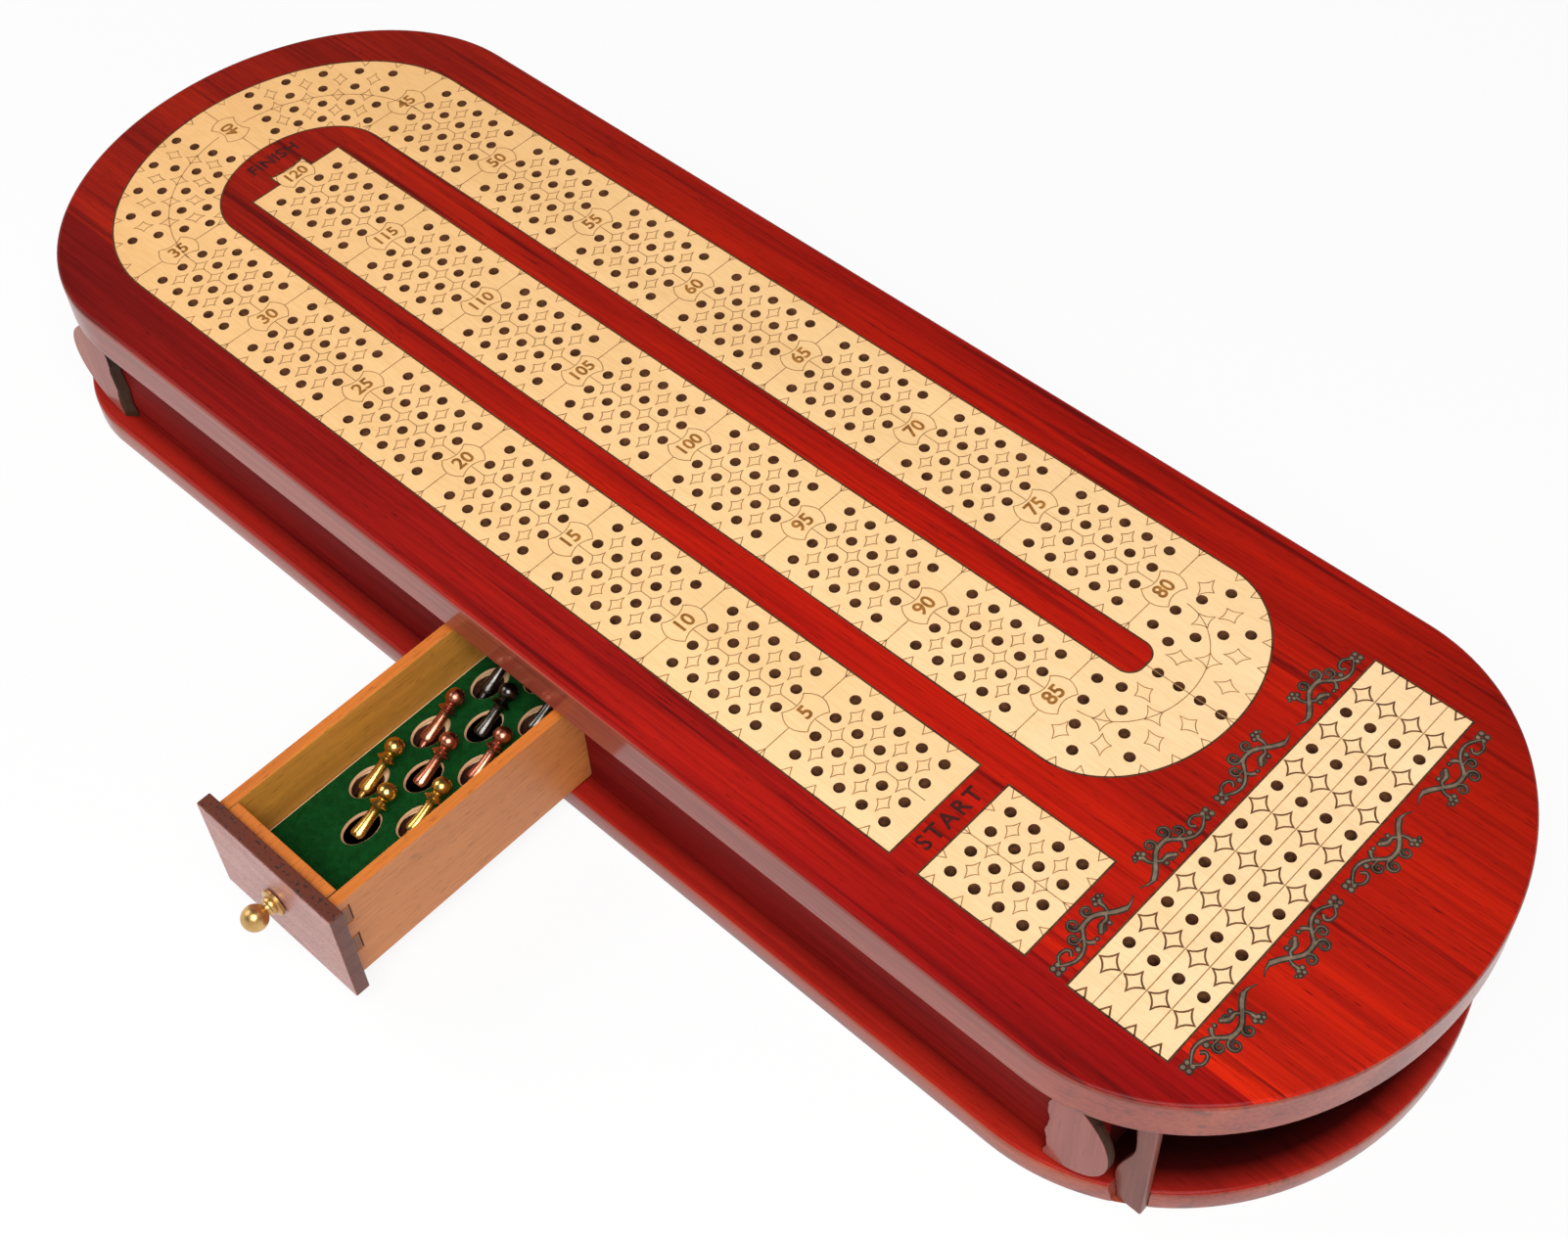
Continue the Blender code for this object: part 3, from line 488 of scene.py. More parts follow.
# %% Outlines of the board and its inlays
LANE_LEFT, LANE_RIGHT = -HALF_LENGTH + 0.058, HALF_LENGTH - 0.1162
LANE_WIDTH, LANE_PITCH = 0.0324, 0.0432
EDGE = LANE_WIDTH / 2
HOLE_PITCH, TRACK_PITCH = 0.007, 0.00707
TRACKS, GROUPS, GROUP_HOLES = 4, 7, 5
PERIOD = (LANE_RIGHT - LANE_LEFT) / GROUPS
FIRST_HOLE = LANE_RIGHT - (PERIOD - (GROUP_HOLES - 1) * HOLE_PITCH) / 2
LEFT_OUTER, LEFT_OUTER_REACH = LANE_LEFT + 0.0034, 0.0476
LEFT_INNER, LEFT_INNER_REACH = LANE_LEFT + 0.0048, 0.02135
RIGHT_OUTER, RIGHT_OUTER_REACH = LANE_RIGHT + 0.009, 0.0279
FINGER_END, FINGER_ROUND = LANE_RIGHT + 0.0109, 0.0042
TAB_HALF, TAB_REACH, TAB_BOW = 0.0059, 0.0045, 0.0009


def arc(x, y, reach, up, first, last, steps):
    """Points of an ellipse from one angle to another, in degrees."""
    turns = [radians(first + (last - first) * i / steps) for i in range(steps + 1)]
    return [(x + reach * cos(turn), y + up * sin(turn)) for turn in turns]


def board_outline(middle=0.0, right=END_DEPTH, left=END_DEPTH):
    """Straight sides between two half ellipses, each with its own depth."""
    outline = arc(HALF_LENGTH - right, 0, right, HALF_WIDTH, -90, 90, 72)
    outline += arc(left - HALF_LENGTH, 0, left, HALF_WIDTH, 90, 270, 72)
    return [(middle + x, y) for x, y in outline]


def track_outline(clear=0.0):
    """The spiral: round the left end, round the right end, and back along the middle lane."""
    half, tab = EDGE + clear, TAB_HALF + clear
    finger, left = FINGER_END - FINGER_ROUND - clear, LANE_LEFT - clear
    points = [(LANE_RIGHT + clear, -LANE_PITCH - half)]
    points += arc(LEFT_OUTER, 0, LEFT_OUTER_REACH + clear, LANE_PITCH + half, -90, -270, 72)
    points += arc(RIGHT_OUTER, LANE_PITCH / 2, RIGHT_OUTER_REACH + clear, LANE_PITCH / 2 + half, 90, -90, 60)
    points += [(left, -half), (left, -tab)]
    points += arc(left - TAB_REACH, 0, TAB_BOW, tab, -90, 90, 8) + [(left, tab), (left, half)]
    points += arc(finger, half + FINGER_ROUND, FINGER_ROUND, FINGER_ROUND, -90, 0, 10)
    points += arc(finger, LANE_PITCH - half - FINGER_ROUND, FINGER_ROUND, FINGER_ROUND, 0, 90, 10)
    points += arc(LEFT_INNER, 0, LEFT_INNER_REACH - clear, LANE_PITCH - half, 90, 270, 60)
    return points + [(LANE_RIGHT + clear, -LANE_PITCH + half)]


def box_outline(node, clear=0.0):
    """The outline of a solid's box, seen from above."""
    low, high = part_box(node)
    left, right, near, far = low.x - clear, high.x + clear, low.y - clear, high.y + clear
    return [(left, near), (right, near), (right, far), (left, far)]


print("Lanes run from", round(LANE_LEFT, 4), "to", round(LANE_RIGHT, 4))

# %% [markdown]
# ## Slabs with an eased arris
# The top slab is a prism of the board's outline with a rounded arris, and recesses that take the inlays.
# Cutting them with Booleans would work, but filling the top face around rings of edges and sinking the
# rings keeps one clean mesh. Faces that look sideways take the glossier finish of the edge.

# %% Slabs
INLAY_DEPTH, ARRIS = 0.0096, 0.0012
LEVEL = 1e-7


def ring(bm, outline, height):
    """A closed ring of edges at one height."""
    points = [bm.verts.new((x, y, height)) for x, y in outline]
    return [bm.edges.new((a, b)) for a, b in zip(points, points[1:] + points[:1])]


def sink(bm, edges, depth):
    """Walls down from closed rings of edges, with a floor in each."""
    lowered = bmesh.ops.extrude_edge_only(bm, edges=edges)["geom"]
    points = {item for item in lowered if isinstance(item, bmesh.types.BMVert)}
    bmesh.ops.translate(bm, verts=list(points), vec=(0, 0, -depth))
    edges = [item for item in lowered if isinstance(item, bmesh.types.BMEdge)]
    bmesh.ops.edgeloop_fill(bm, edges=[edge for edge in edges if points.issuperset(edge.verts)])


def thickened(bm, height):
    """Gives flat faces a height, which makes a closed solid of each."""
    lifted = bmesh.ops.extrude_face_region(bm, geom=list(bm.faces), use_keep_orig=True)["geom"]
    top = [item for item in lifted if isinstance(item, bmesh.types.BMVert)]
    bmesh.ops.translate(bm, verts=top, vec=(0, 0, height))
    bmesh.ops.recalc_face_normals(bm, faces=bm.faces)
    return bm


def raised(outline, low, high):
    """A flat outline raised from one height to another."""
    bm = bmesh.new()
    bm.faces.new([bm.verts.new((x, y, low)) for x, y in outline])
    return thickened(bm, high - low)


def eased_slab(outline, low, high, recesses=()):
    """A slab with a rounded arris, and with recesses sunk into its top."""
    bm = raised(outline, low, high)
    rims = [edge for edge in bm.edges if abs(edge.verts[0].co.z - edge.verts[1].co.z) < LEVEL]
    bmesh.ops.bevel(bm, geom=rims, offset=ARRIS, segments=4, profile=0.5, affect="EDGES", material=-1)
    if recesses:
        top = max(bm.faces, key=lambda face: face.calc_center_median().z)
        rim = list(top.edges)
        bmesh.ops.delete(bm, geom=[top], context="FACES_ONLY")
        pockets = [edge for outline in recesses for edge in ring(bm, outline, high)]
        bmesh.ops.triangle_fill(bm, use_beauty=True, edges=rim + pockets)
        sink(bm, pockets, INLAY_DEPTH)
    bmesh.ops.recalc_face_normals(bm, faces=bm.faces)
    return bm


def finish_edges(bm, steepest=0.75):
    """The second finish goes on faces that look sideways."""
    bm.normal_update()
    for face in bm.faces:
        face.material_index = int(abs(face.normal.z) < steepest)
    return bm


GROOVE = 0.0002
pockets = [track_outline(GROOVE), box_outline("start_inlay", GROOVE), box_outline("counter_inlay", GROOVE)]
shape = finish_edges(eased_slab(board_outline(), board_low.z, BOARD_TOP, pockets))
slab = add_piece("board_slab", shape, [red_top, red_side], "board", ["top_slab"])
print("Slab:", len(slab.data.polygons), "faces")

# %% [markdown]
# ## Base, walls and corner pieces
# The base is a thinner slab of much the same outline, glued on a little off the middle, with a notch for
# each of the four posts: open to the rim at the counter end, closed at the other. For those a Boolean is
# the quick way. Half-disc brackets close the corners of the walls. They were sawn by hand, so their
# straight edge is left ragged. At the left end they are fuller, sit further out, and that edge is
# splayed. The posts are fretted to a waist.

# %% Corners
CORNERS = [(side_x, side_y) for side_x in (-1, 1) for side_y in (-1, 1)]
SIDES, ENDS = {-1: "near", 1: "far"}, {-1: "left", 1: "right"}


def at_corners(kind):
    """The four solids of a kind: name, sides, where the inner face lies, and how thick the plate is."""
    for side_x, side_y in CORNERS:
        node = f"{kind}_{SIDES[side_y]}_{ENDS[side_x]}"
        low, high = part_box(node)
        yield node, side_x, side_y, low.y if side_y > 0 else high.y, high.y - low.y


print("Corners:", [SIDES[side_y] + " " + ENDS[side_x] for side_x, side_y in CORNERS])

# %% End posts
def stood_up(bm, face, side_y):
    """Turns a flat shape so that it stands on edge against a face, its height now along Z."""
    for vert in bm.verts:
        x, z, depth = vert.co
        vert.co = (x, face + side_y * depth, z)
    bmesh.ops.recalc_face_normals(bm, faces=bm.faces)
    return bm


post_low, post_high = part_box("end_post_near_right")
FULL = post_high.x - post_low.x
POST_EASE = 0.00035
POST_WIDTHS = (
    (post_low.z, 0.82 * FULL),
    (base_high.z + 0.004, FULL),
    (base_high.z + 0.022, 0.53 * FULL),
    (post_high.z, 0.65 * FULL),
)


def post_width(height):
    """Width of a post: widest at the foot, hollowed to a waist under the slab."""
    for (low, first), (high, last) in zip(POST_WIDTHS, POST_WIDTHS[1:]):
        if height <= high:
            return first + (last - first) * (1 - cos(pi * (height - low) / (high - low))) / 2
    return POST_WIDTHS[-1][1]


def post_outline(node, side_x, spare=0.0, steps=40):
    """Seen from the front: one straight edge, one fretted edge."""
    low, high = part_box(node)
    straight = high.x if side_x > 0 else low.x
    levels = [high.z + (low.z - high.z) * i / steps for i in range(steps + 1)]
    outline = [(straight + side_x * spare, low.z - spare), (straight + side_x * spare, high.z + spare)]
    outline += [(straight - side_x * (post_width(level) + spare), level) for level in levels]
    return outline + [(outline[-1][0], low.z - spare)] if spare else outline


posts = []
for node, side_x, side_y, face, thickness in at_corners("end_post"):
    post = stood_up(raised(post_outline(node, side_x), 0, thickness), face, side_y)
    post = eased(post, POST_EASE, 60)
    name = node.replace("end_post", "post")
    posts.append(add_piece(name, post, [sawn_post], "board", [node]))
print("Posts:", len(posts))

# %% Base
def carved(bm, cutter):
    """What is left of a shape when another is cut out of it."""
    pair = []
    for shape in (bm, cutter):
        mesh = bpy.data.meshes.new("carving")
        shape.to_mesh(mesh)
        shape.free()
        pair.append(bpy.data.objects.new("carving", mesh))
        scene.collection.objects.link(pair[-1])
    cut = pair[0].modifiers.new("cut", "BOOLEAN")
    cut.object = pair[1]
    cut.solver = "EXACT"
    left = bmesh.new()
    left.from_object(pair[0], bpy.context.evaluated_depsgraph_get())
    # An object goes when its mesh goes.
    for helper in pair:
        bpy.data.meshes.remove(helper.data)
    return left


FIT, OUTWARDS = 0.0002, 0.02
BASE_RIGHT, BASE_LEFT = 0.0685, 0.053
base_rim = board_outline((base_low.x + base_high.x) / 2, BASE_RIGHT, BASE_LEFT)
shape = eased_slab(base_rim, base_low.z, base_high.z)
for node, side_x, side_y, face, thickness in at_corners("end_post"):
    outside = OUTWARDS if side_x > 0 else thickness + FIT
    notch = raised(post_outline(node, side_x, FIT), -FIT, outside)
    shape = carved(shape, stood_up(notch, face, side_y))
shape = finish_edges(shape)
for floor in shape.faces:
    if floor.normal.z > 0 and floor.calc_center_median().z < base_high.z / 2:
        floor.material_index = 1
base = add_piece("board_base", shape, [red_base, red_side], "board", ["base_slab"])
print("Base:", len(base.data.polygons), "faces")

# %% Walls under the slab
# Rails and end boards take darker finishes that carry painted shade under the slab.
wall_finishes = {
    "front_rail_left": red_rail_painted_shade,
    "front_rail_right": red_rail_painted_shade,
    "back_rail": red_rail_painted_shade,
    "end_board_left": red_end_painted_shade,
    "end_board_right": red_end_painted_shade,
    "drawer_runner_left": honey_side,
    "drawer_runner_right": honey_side,
    "drawer_kicker": honey_side,
    "drawer_bottom": honey_side,
    "knob_screw": metals["brass"],
}
for node, finish in wall_finishes.items():
    nodes[node].data.materials.clear()
    nodes[node].data.materials.append(finish)
print("Walls and hidden boards:", len(wall_finishes))

# %% Corner brackets
SCALLOP, CHATTER, FUZZ, SAW_STEPS = 0.0004, 0.00012, 0.00008, 44
FULLER, LEFT_SHIFT = {-1: 1.22, 1: 1.08}, 0.0025
SPLAY, SPLAY_TAPER = {-1: 0.0034, 1: 0.0}, 0.7
BRACKET_EASE, FACE_ON = 0.0003, 0.95


def ragged(height, radius):
    """How far the saw strayed at a height of the bracket's straight edge."""
    part = height / radius
    scallops = SCALLOP * (1 - cos(3 * pi * (part + 1)))
    return scallops + CHATTER * sin(23 * part) + FUZZ * sin(57 * part)


for node, side_x, side_y, face, thickness in at_corners("corner_bracket"):
    low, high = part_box(node)
    radius, middle = (high.z - low.z) / 2, (high.z + low.z) / 2
    flat, reach = (low.x, high.x - low.x) if side_x > 0 else (high.x - LEFT_SHIFT, low.x - high.x)
    reach *= FULLER[side_x]
    heights = [radius * (1 - 2 * i / SAW_STEPS) for i in range(1, SAW_STEPS)]
    outline = arc(flat, middle, reach, radius, -90, 90, 40)
    outline += [(flat + side_x * ragged(height, radius), middle + height) for height in heights]
    plate = stood_up(raised(outline, 0, thickness), face, side_y)
    for vert in plate.verts:
        if abs(vert.co.x - flat) < SPLAY[side_x] and abs(vert.co.y - face) > thickness / 2:
            vert.co.x += side_x * SPLAY[side_x] * (1 - SPLAY_TAPER * (vert.co.z - low.z) / (high.z - low.z))
    plate.normal_update()
    # Edge faces take the dark sawn finish: rough end grain with painted shade.
    for edge_face in plate.faces:
        edge_face.material_index = int(abs(edge_face.normal.y) < FACE_ON)
    plate = eased(plate, BRACKET_EASE, 60)
    name = node.replace("corner_bracket", "bracket")
    add_piece(name, plate, [sawn_red, sawn_edge_grain_and_shade], "board", [node])
print("Brackets are up")

# %% [markdown]
# ## Inlays with round peg holes
# Each inlay fills its recess to the top. The holes are rings of edges in its top face, sunk to blind bores,
# so the strip stays one closed mesh. The bores have a finish of their own, much darker than the planed face:
# partly the darker drilled end grain, partly painted shade down in the holes.

# %% Where the holes are
LEFT_MIDDLE, LEFT_DRIFT, LEFT_REACH, LEFT_STEP = LANE_LEFT + 0.004, 0.00184, 0.0449, 0.00475
RIGHT_MIDDLE, RIGHT_DRIFT, RIGHT_REACH, RIGHT_STEP = LANE_RIGHT + 0.0069, 0.0004, 0.0262, 0.0058


def across(track):
    """Offset of a track from its lane's middle, the outermost first."""
    return ((TRACKS - 1) / 2 - track) * TRACK_PITCH


def left_place(track, angle):
    """A place on the curve at the left end, by track and by angle from the middle of the curve."""
    turn = radians(angle)
    reach, up = LEFT_REACH - LEFT_STEP * track, LANE_PITCH + across(track)
    return Vector((LEFT_MIDDLE + LEFT_DRIFT * track - reach * cos(turn), up * sin(turn)))


def right_place(track, angle):
    """The same on the curve at the right end, which turns round the far half of the board."""
    turn = radians(angle)
    reach, up = RIGHT_REACH - RIGHT_STEP * track, LANE_PITCH / 2 + across(track)
    x = RIGHT_MIDDLE - RIGHT_DRIFT * track + reach * cos(turn)
    return Vector((x, LANE_PITCH / 2 + up * sin(turn)))


LEFT_ROWS = [15 + 13 * row for row in range(5)]
RIGHT_ROWS = ((0, 0, 1), (48, 2.7, 1), (48, 2.7, -1), (76, 7, 1), (76, 7, -1))
LANES = (-LANE_PITCH, 0, LANE_PITCH)
FOUR = (-1.5, -0.5, 0.5, 1.5)
starts = [FIRST_HOLE - group * PERIOD for group in range(GROUPS)]
columns = [start - hole * HOLE_PITCH for start in starts for hole in range(GROUP_HOLES)]
track_holes = [(x, lane + across(track)) for x in columns for lane in LANES for track in range(TRACKS)]
left_angles = [side * row for row in LEFT_ROWS for side in (-1, 1)]
track_holes += [left_place(track, angle) for track in range(TRACKS) for angle in left_angles]
for track in range(TRACKS):
    track_holes += [right_place(track, side * (angle + fan * track)) for angle, fan, side in RIGHT_ROWS]
start_low, start_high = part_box("start_inlay")
START_X, START_Y = (start_low.x + start_high.x) / 2, (start_low.y + start_high.y) / 2
start_holes = [(START_X + i * HOLE_PITCH, START_Y + across(track)) for i in FOUR for track in range(TRACKS)]
counter_low, counter_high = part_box("counter_inlay")
COUNTER_X = (counter_low.x + counter_high.x) / 2
ROW_PITCH, COUNT_PITCH, GAMES = 0.00674, 0.01384, 7
counts = [(j - (GAMES - 1) / 2) * COUNT_PITCH for j in range(GAMES)]
counter_holes = [(COUNTER_X + i * ROW_PITCH, y) for i in FOUR for y in counts]
print("Holes:", len(track_holes) + len(start_holes) + len(counter_holes))

# %% Inlays
HOLE_RADIUS, HOLE_DEPTH, STRIP_DEPTH = 0.0015, 0.0085, 0.0093
# Dark hole walls: partly end grain, partly painted shade in the holes.
bore_grain_and_shade = burnt_lines("drilled_bore_grain_and_shade", (0.27, 0.11, 0.048), (0.10, 0.036, 0.016))


def add_inlay(name, outline, holes, stands_for):
    """A strip of maple with its blind holes."""
    bm = bmesh.new()
    rim = ring(bm, outline, BOARD_TOP)
    mouths = []
    for x, y in holes:
        place = Matrix.Translation((x, y, BOARD_TOP))
        circle = bmesh.ops.create_circle(bm, segments=14, radius=HOLE_RADIUS, matrix=place)
        mouths += {edge for vert in circle["verts"] for edge in vert.link_edges}
    top = bmesh.ops.triangle_fill(bm, use_beauty=True, edges=rim + mouths)["geom"]
    planed = [item for item in top if isinstance(item, bmesh.types.BMFace)]
    sink(bm, mouths, HOLE_DEPTH)
    for face in set(bm.faces) - set(planed):
        face.material_index = 1
    sink(bm, rim, STRIP_DEPTH)
    bmesh.ops.recalc_face_normals(bm, faces=bm.faces)
    return add_piece(name, bm, [maple, bore_grain_and_shade], "board", stands_for)


add_inlay("track_strip", track_outline(), track_holes, ["track_inlay"])
add_inlay("start_block", box_outline("start_inlay"), start_holes, ["start_inlay"])
add_inlay("games_counter", box_outline("counter_inlay"), counter_holes, ["counter_inlay"])
print("Inlays are in")

# %% [markdown]
# ## Burnt engraving
# Between the holes the maple is engraved with small concave diamonds, arrow points along every edge,
# lines that part the groups of five, and ticket-shaped labels for the score. A texture could draw them,
# but on a curve it would have to bend with the track. Thin strokes that end a hair above the wood follow
# any path and keep their line width.

# %% Strokes
LIFT, SUNK = 0.00004, 0.00025
FINE, BOLD, BORDER = 0.00024, 0.00045, 0.0005
MITRE, HOLLOW, SPREAD = 0.45, 0.27, 0.58
FLANK, BULGE = 0.38, 2.05


def stroke(bm, points, width, closed=False, tip=None):
    """A flat line through the points, with mitred corners; with a tip it changes to that width."""
    path = [Vector(point) for point in points]
    last = len(path) - 1
    sides = []
    for i, point in enumerate(path):
        before = path[i - 1] if i or closed else point * 2 - path[1]
        after = path[(i + 1) % len(path)] if i < last or closed else point * 2 - path[-2]
        ahead, behind = (after - point).normalized(), (point - before).normalized()
        middle = (ahead + behind).normalized()
        breadth = width if tip is None else width + (tip - width) * i / last
        offset = Vector((-middle.y, middle.x)) * breadth / 2 / max(MITRE, middle.dot(ahead))
        sides.append([bm.verts.new((*(point + way * offset), BOARD_TOP - SUNK)) for way in (1, -1)])
    pairs = list(zip(sides, sides[1:])) + ([(sides[-1], sides[0])] if closed else [])
    for (a, b), (c, d) in pairs:
        bm.faces.new((a, b, d, c))


def bowed(first, last, bend, steps=4):
    """Points from one place to another along a curve that is pulled towards a third."""
    parts = [i / steps for i in range(steps)]
    return [first * (1 - t) ** 2 + bend * 2 * t * (1 - t) + last * t**2 for t in parts]


def diamond(bm, centre, ahead, side, width):
    """Four cusps joined by hollow sides; ahead and side reach from the centre to two of the cusps."""
    centre = Vector(centre)
    cusps = [centre + way for way in (ahead, side, -ahead, -side)]
    points = []
    for first, last in zip(cusps, cusps[1:] + cusps[:1]):
        points += bowed(first, last, centre + (first + last - 2 * centre) * HOLLOW)
    stroke(bm, points, width, closed=True)


def arrow_point(bm, edge, inward, width):
    """A small V on an edge, pointing into the strip."""
    edge, inward = Vector(edge), Vector(inward)
    spread = Vector((-inward.y, inward.x)) * SPREAD
    stroke(bm, [edge + spread, edge + inward, edge - spread], width)


def label_outline(centre, ahead, side):
    """The ticket shape round a number: hollow flanks and bowed ends."""
    corners = [centre + ahead * i + side * j for i, j in ((1, -1), (1, 1), (-1, 1), (-1, -1))]
    bends = [centre + way for way in (ahead * FLANK, side * BULGE, -ahead * FLANK, -side * BULGE)]
    points = []
    for first, last, bend in zip(corners, corners[1:] + corners[:1], bends):
        points += bowed(first, last, bend, 6)
    return points


def engraved(name, bm, finish, lift=LIFT):
    """Gives the strokes a little depth, so that each is a closed sliver that fills its groove."""
    slivers = thickened(bm, SUNK + lift)
    return add_piece(name, slivers, [finish], "board", smooth=30)


print("Strokes can be drawn")

# %% Lanes
P, T = HOLE_PITCH, TRACK_PITCH
DIAMOND_LONG, DIAMOND_WIDE = Vector((0.27 * P, 0)), Vector((0, 0.40 * T))


def lane_diamond(bm, x, y):
    """A diamond between four holes of a straight lane."""
    diamond(bm, (x, y), DIAMOND_LONG, DIAMOND_WIDE, FINE)


lines = bmesh.new()
for lane in LANES:
    for group in range(GROUPS):
        middle = LANE_RIGHT - (group + 0.5) * PERIOD
        for i in FOUR:
            for j in (-1, 0, 1):
                lane_diamond(lines, middle + i * P, lane + j * T)
        for side in (-1, 1):
            for i in (-1.74, -0.65, 0.65, 1.74):
                arrow_point(lines, (middle + i * P, lane + side * EDGE), (0, -side * 0.36 * P), FINE)
            first, last = middle + side * 1.77 * P, middle + side * (PERIOD / 2 - 0.45 * P)
            stroke(lines, [(first, lane), (last, lane)], FINE)
        for i in (-1, 0, 1):
            stroke(lines, [(middle + (i - 0.23) * P, lane), (middle + (i + 0.23) * P, lane)], FINE)
print("Lanes:", len(lines.faces), "faces of strokes")

# %% Labels and the lines that part the groups
FAR_SCORE, MIDDLE_SCORE, LAST_SCORE = 45, 85, 120
LABEL_LONG, LABEL_WIDE, LABEL_STEM = 0.6 * P, 0.55 * P, 0.86 * P
parts = [LANE_RIGHT - n * PERIOD for n in range(GROUPS + 1)]
labels = [(parts[n], LANES[0], GROUP_HOLES * n) for n in range(1, GROUPS + 1)]
labels += [(parts[n], LANES[2], FAR_SCORE + GROUP_HOLES * (GROUPS - n)) for n in range(GROUPS, -1, -1)]
labels += [(parts[n], LANES[1], MIDDLE_SCORE + GROUP_HOLES * n) for n in range(GROUPS + 1)]
for x, lane, score in labels:
    ticket = label_outline(Vector((x, lane)), Vector((LABEL_LONG, 0)), Vector((0, LABEL_WIDE)))
    stroke(lines, ticket, FINE, closed=True)
    for side in (-1, 1):
        if score != LAST_SCORE:
            stroke(lines, [(x, lane + side * LABEL_STEM), (x, lane + side * EDGE)], FINE)
            arrow_point(lines, (x, lane + side * EDGE), (0, -side * 0.3 * P), FINE)
forty = left_place(1.5, 0)
stroke(lines, label_outline(forty, Vector((0, LABEL_LONG)), Vector((LABEL_WIDE, 0))), FINE, closed=True)
stroke(lines, [forty + Vector((LABEL_STEM, 0)), Vector((LEFT_INNER - LEFT_INNER_REACH, 0))], FINE)
stroke(lines, [forty - Vector((LABEL_STEM, 0)), Vector((LEFT_OUTER - LEFT_OUTER_REACH, 0))], FINE)
print("Labels:", len(labels) + 1)

# %% Curves
def ring_diamond(bm, place, track, angle, size=1.0):
    """A diamond on a curve, turned to run with the track."""
    ahead = (place(track, angle + 4) - place(track, angle - 4)).normalized()
    side = Vector((-ahead.y, ahead.x))
    diamond(bm, place(track, angle), ahead * 0.30 * P * size, side * 0.40 * P * size, FINE)


def edge_points(bm, x, y, reach, up, angles, way):
    """Arrow points along a curved edge; way is 1 for an edge that looks outwards."""
    for angle in angles:
        turn = radians(angle)
        edge = Vector((x + reach * cos(turn), y + up * sin(turn)))
        normal = Vector((cos(turn) / reach, sin(turn) / up)).normalized()
        arrow_point(bm, edge, -way * normal * 0.34 * P, FINE)


for side in (-1, 1):
    for track in (0.5, 1.5, 2.5):
        for first, last in zip(LEFT_ROWS, LEFT_ROWS[1:]):
            ring_diamond(lines, left_place, track, side * (first + last) / 2)
    for track, angles in ((0.5, (15, 35, 63, 88)), (1.5, (30, 67)), (2.6, (30,))):
        for angle in angles:
            ring_diamond(lines, right_place, track, side * angle, 1.15)
    stroke(lines, [left_place(1.5, side * angle) for angle in range(6, 88, 3)], FINE)
    stroke(lines, [right_place(1.5, side * angle) for angle in range(0, 90, 4)], FINE)
HALFWAY = LANE_PITCH / 2
edge_points(lines, LEFT_OUTER, 0, LEFT_OUTER_REACH, LANE_PITCH + EDGE, range(102, 262, 12), 1)
edge_points(lines, LEFT_INNER, 0, LEFT_INNER_REACH, LANE_PITCH - EDGE, range(110, 262, 20), -1)
edge_points(lines, RIGHT_OUTER, HALFWAY, RIGHT_OUTER_REACH, HALFWAY + EDGE, range(-84, 96, 14), 1)
stroke(lines, [(FINGER_END, HALFWAY), (RIGHT_OUTER + RIGHT_OUTER_REACH, HALFWAY)], FINE)
print("Lanes and curves:", len(lines.faces), "faces of strokes")

# %% Start block and games counter
for i in (-1, 0, 1):
    for j in (-1, 0, 1):
        lane_diamond(lines, START_X + i * P, START_Y + j * T)
stroke(lines, [(start_low.x, START_Y), (start_high.x, START_Y)], FINE)
for i in (-1.8, -0.6, 0.6, 1.8):
    for side in (-1, 1):
        arrow_point(lines, (START_X + i * P, START_Y + side * EDGE), (0, -side * 0.36 * P), FINE)
for j in (-1.2, 0, 1.2):
    for side, edge in ((1, start_low.x), (-1, start_high.x)):
        arrow_point(lines, (edge, START_Y + j * T), (side * 0.3 * P, 0), FINE)
for i in (-1, 0, 1):
    x = COUNTER_X + i * ROW_PITCH
    stroke(lines, [(x, counter_low.y), (x, counter_high.y)], FINE)
engraved("engraved_lines", lines, burnt_line)
bold = bmesh.new()
for i in FOUR:
    x = COUNTER_X + i * ROW_PITCH
    for j in range(GAMES + 1):
        diamond(bold, (x, (j - GAMES / 2) * COUNT_PITCH), Vector((0.39 * P, 0)), Vector((0, 0.44 * P)), BOLD)
    for side in (-1, 1):
        arrow_point(bold, (x, side * counter_high.y), (0, -side * 0.34 * P), BOLD)
engraved("counter_lines", bold, burnt_bold)
border = bmesh.new()
for outline in (track_outline(), box_outline("start_inlay"), box_outline("counter_inlay")):
    stroke(border, outline, BORDER, closed=True)
engraved("burnt_edges", border, burnt_border)
print("Borders are burnt")

# %% [markdown]
# ## Numbers and words
# The scores are plain numerals burnt into the labels, and two words mark where the race begins and ends.
# Text objects give the outlines; each becomes a mesh before it is turned to read across the board.

# %% Numbers and words
NUMERAL, NARROW_NUMERAL, CAPITAL = 0.0040, 0.0037, 0.0042
CAPITAL_SHARE, THICKEN = 0.7, 0.00014
FINISH_GAP = 0.0105


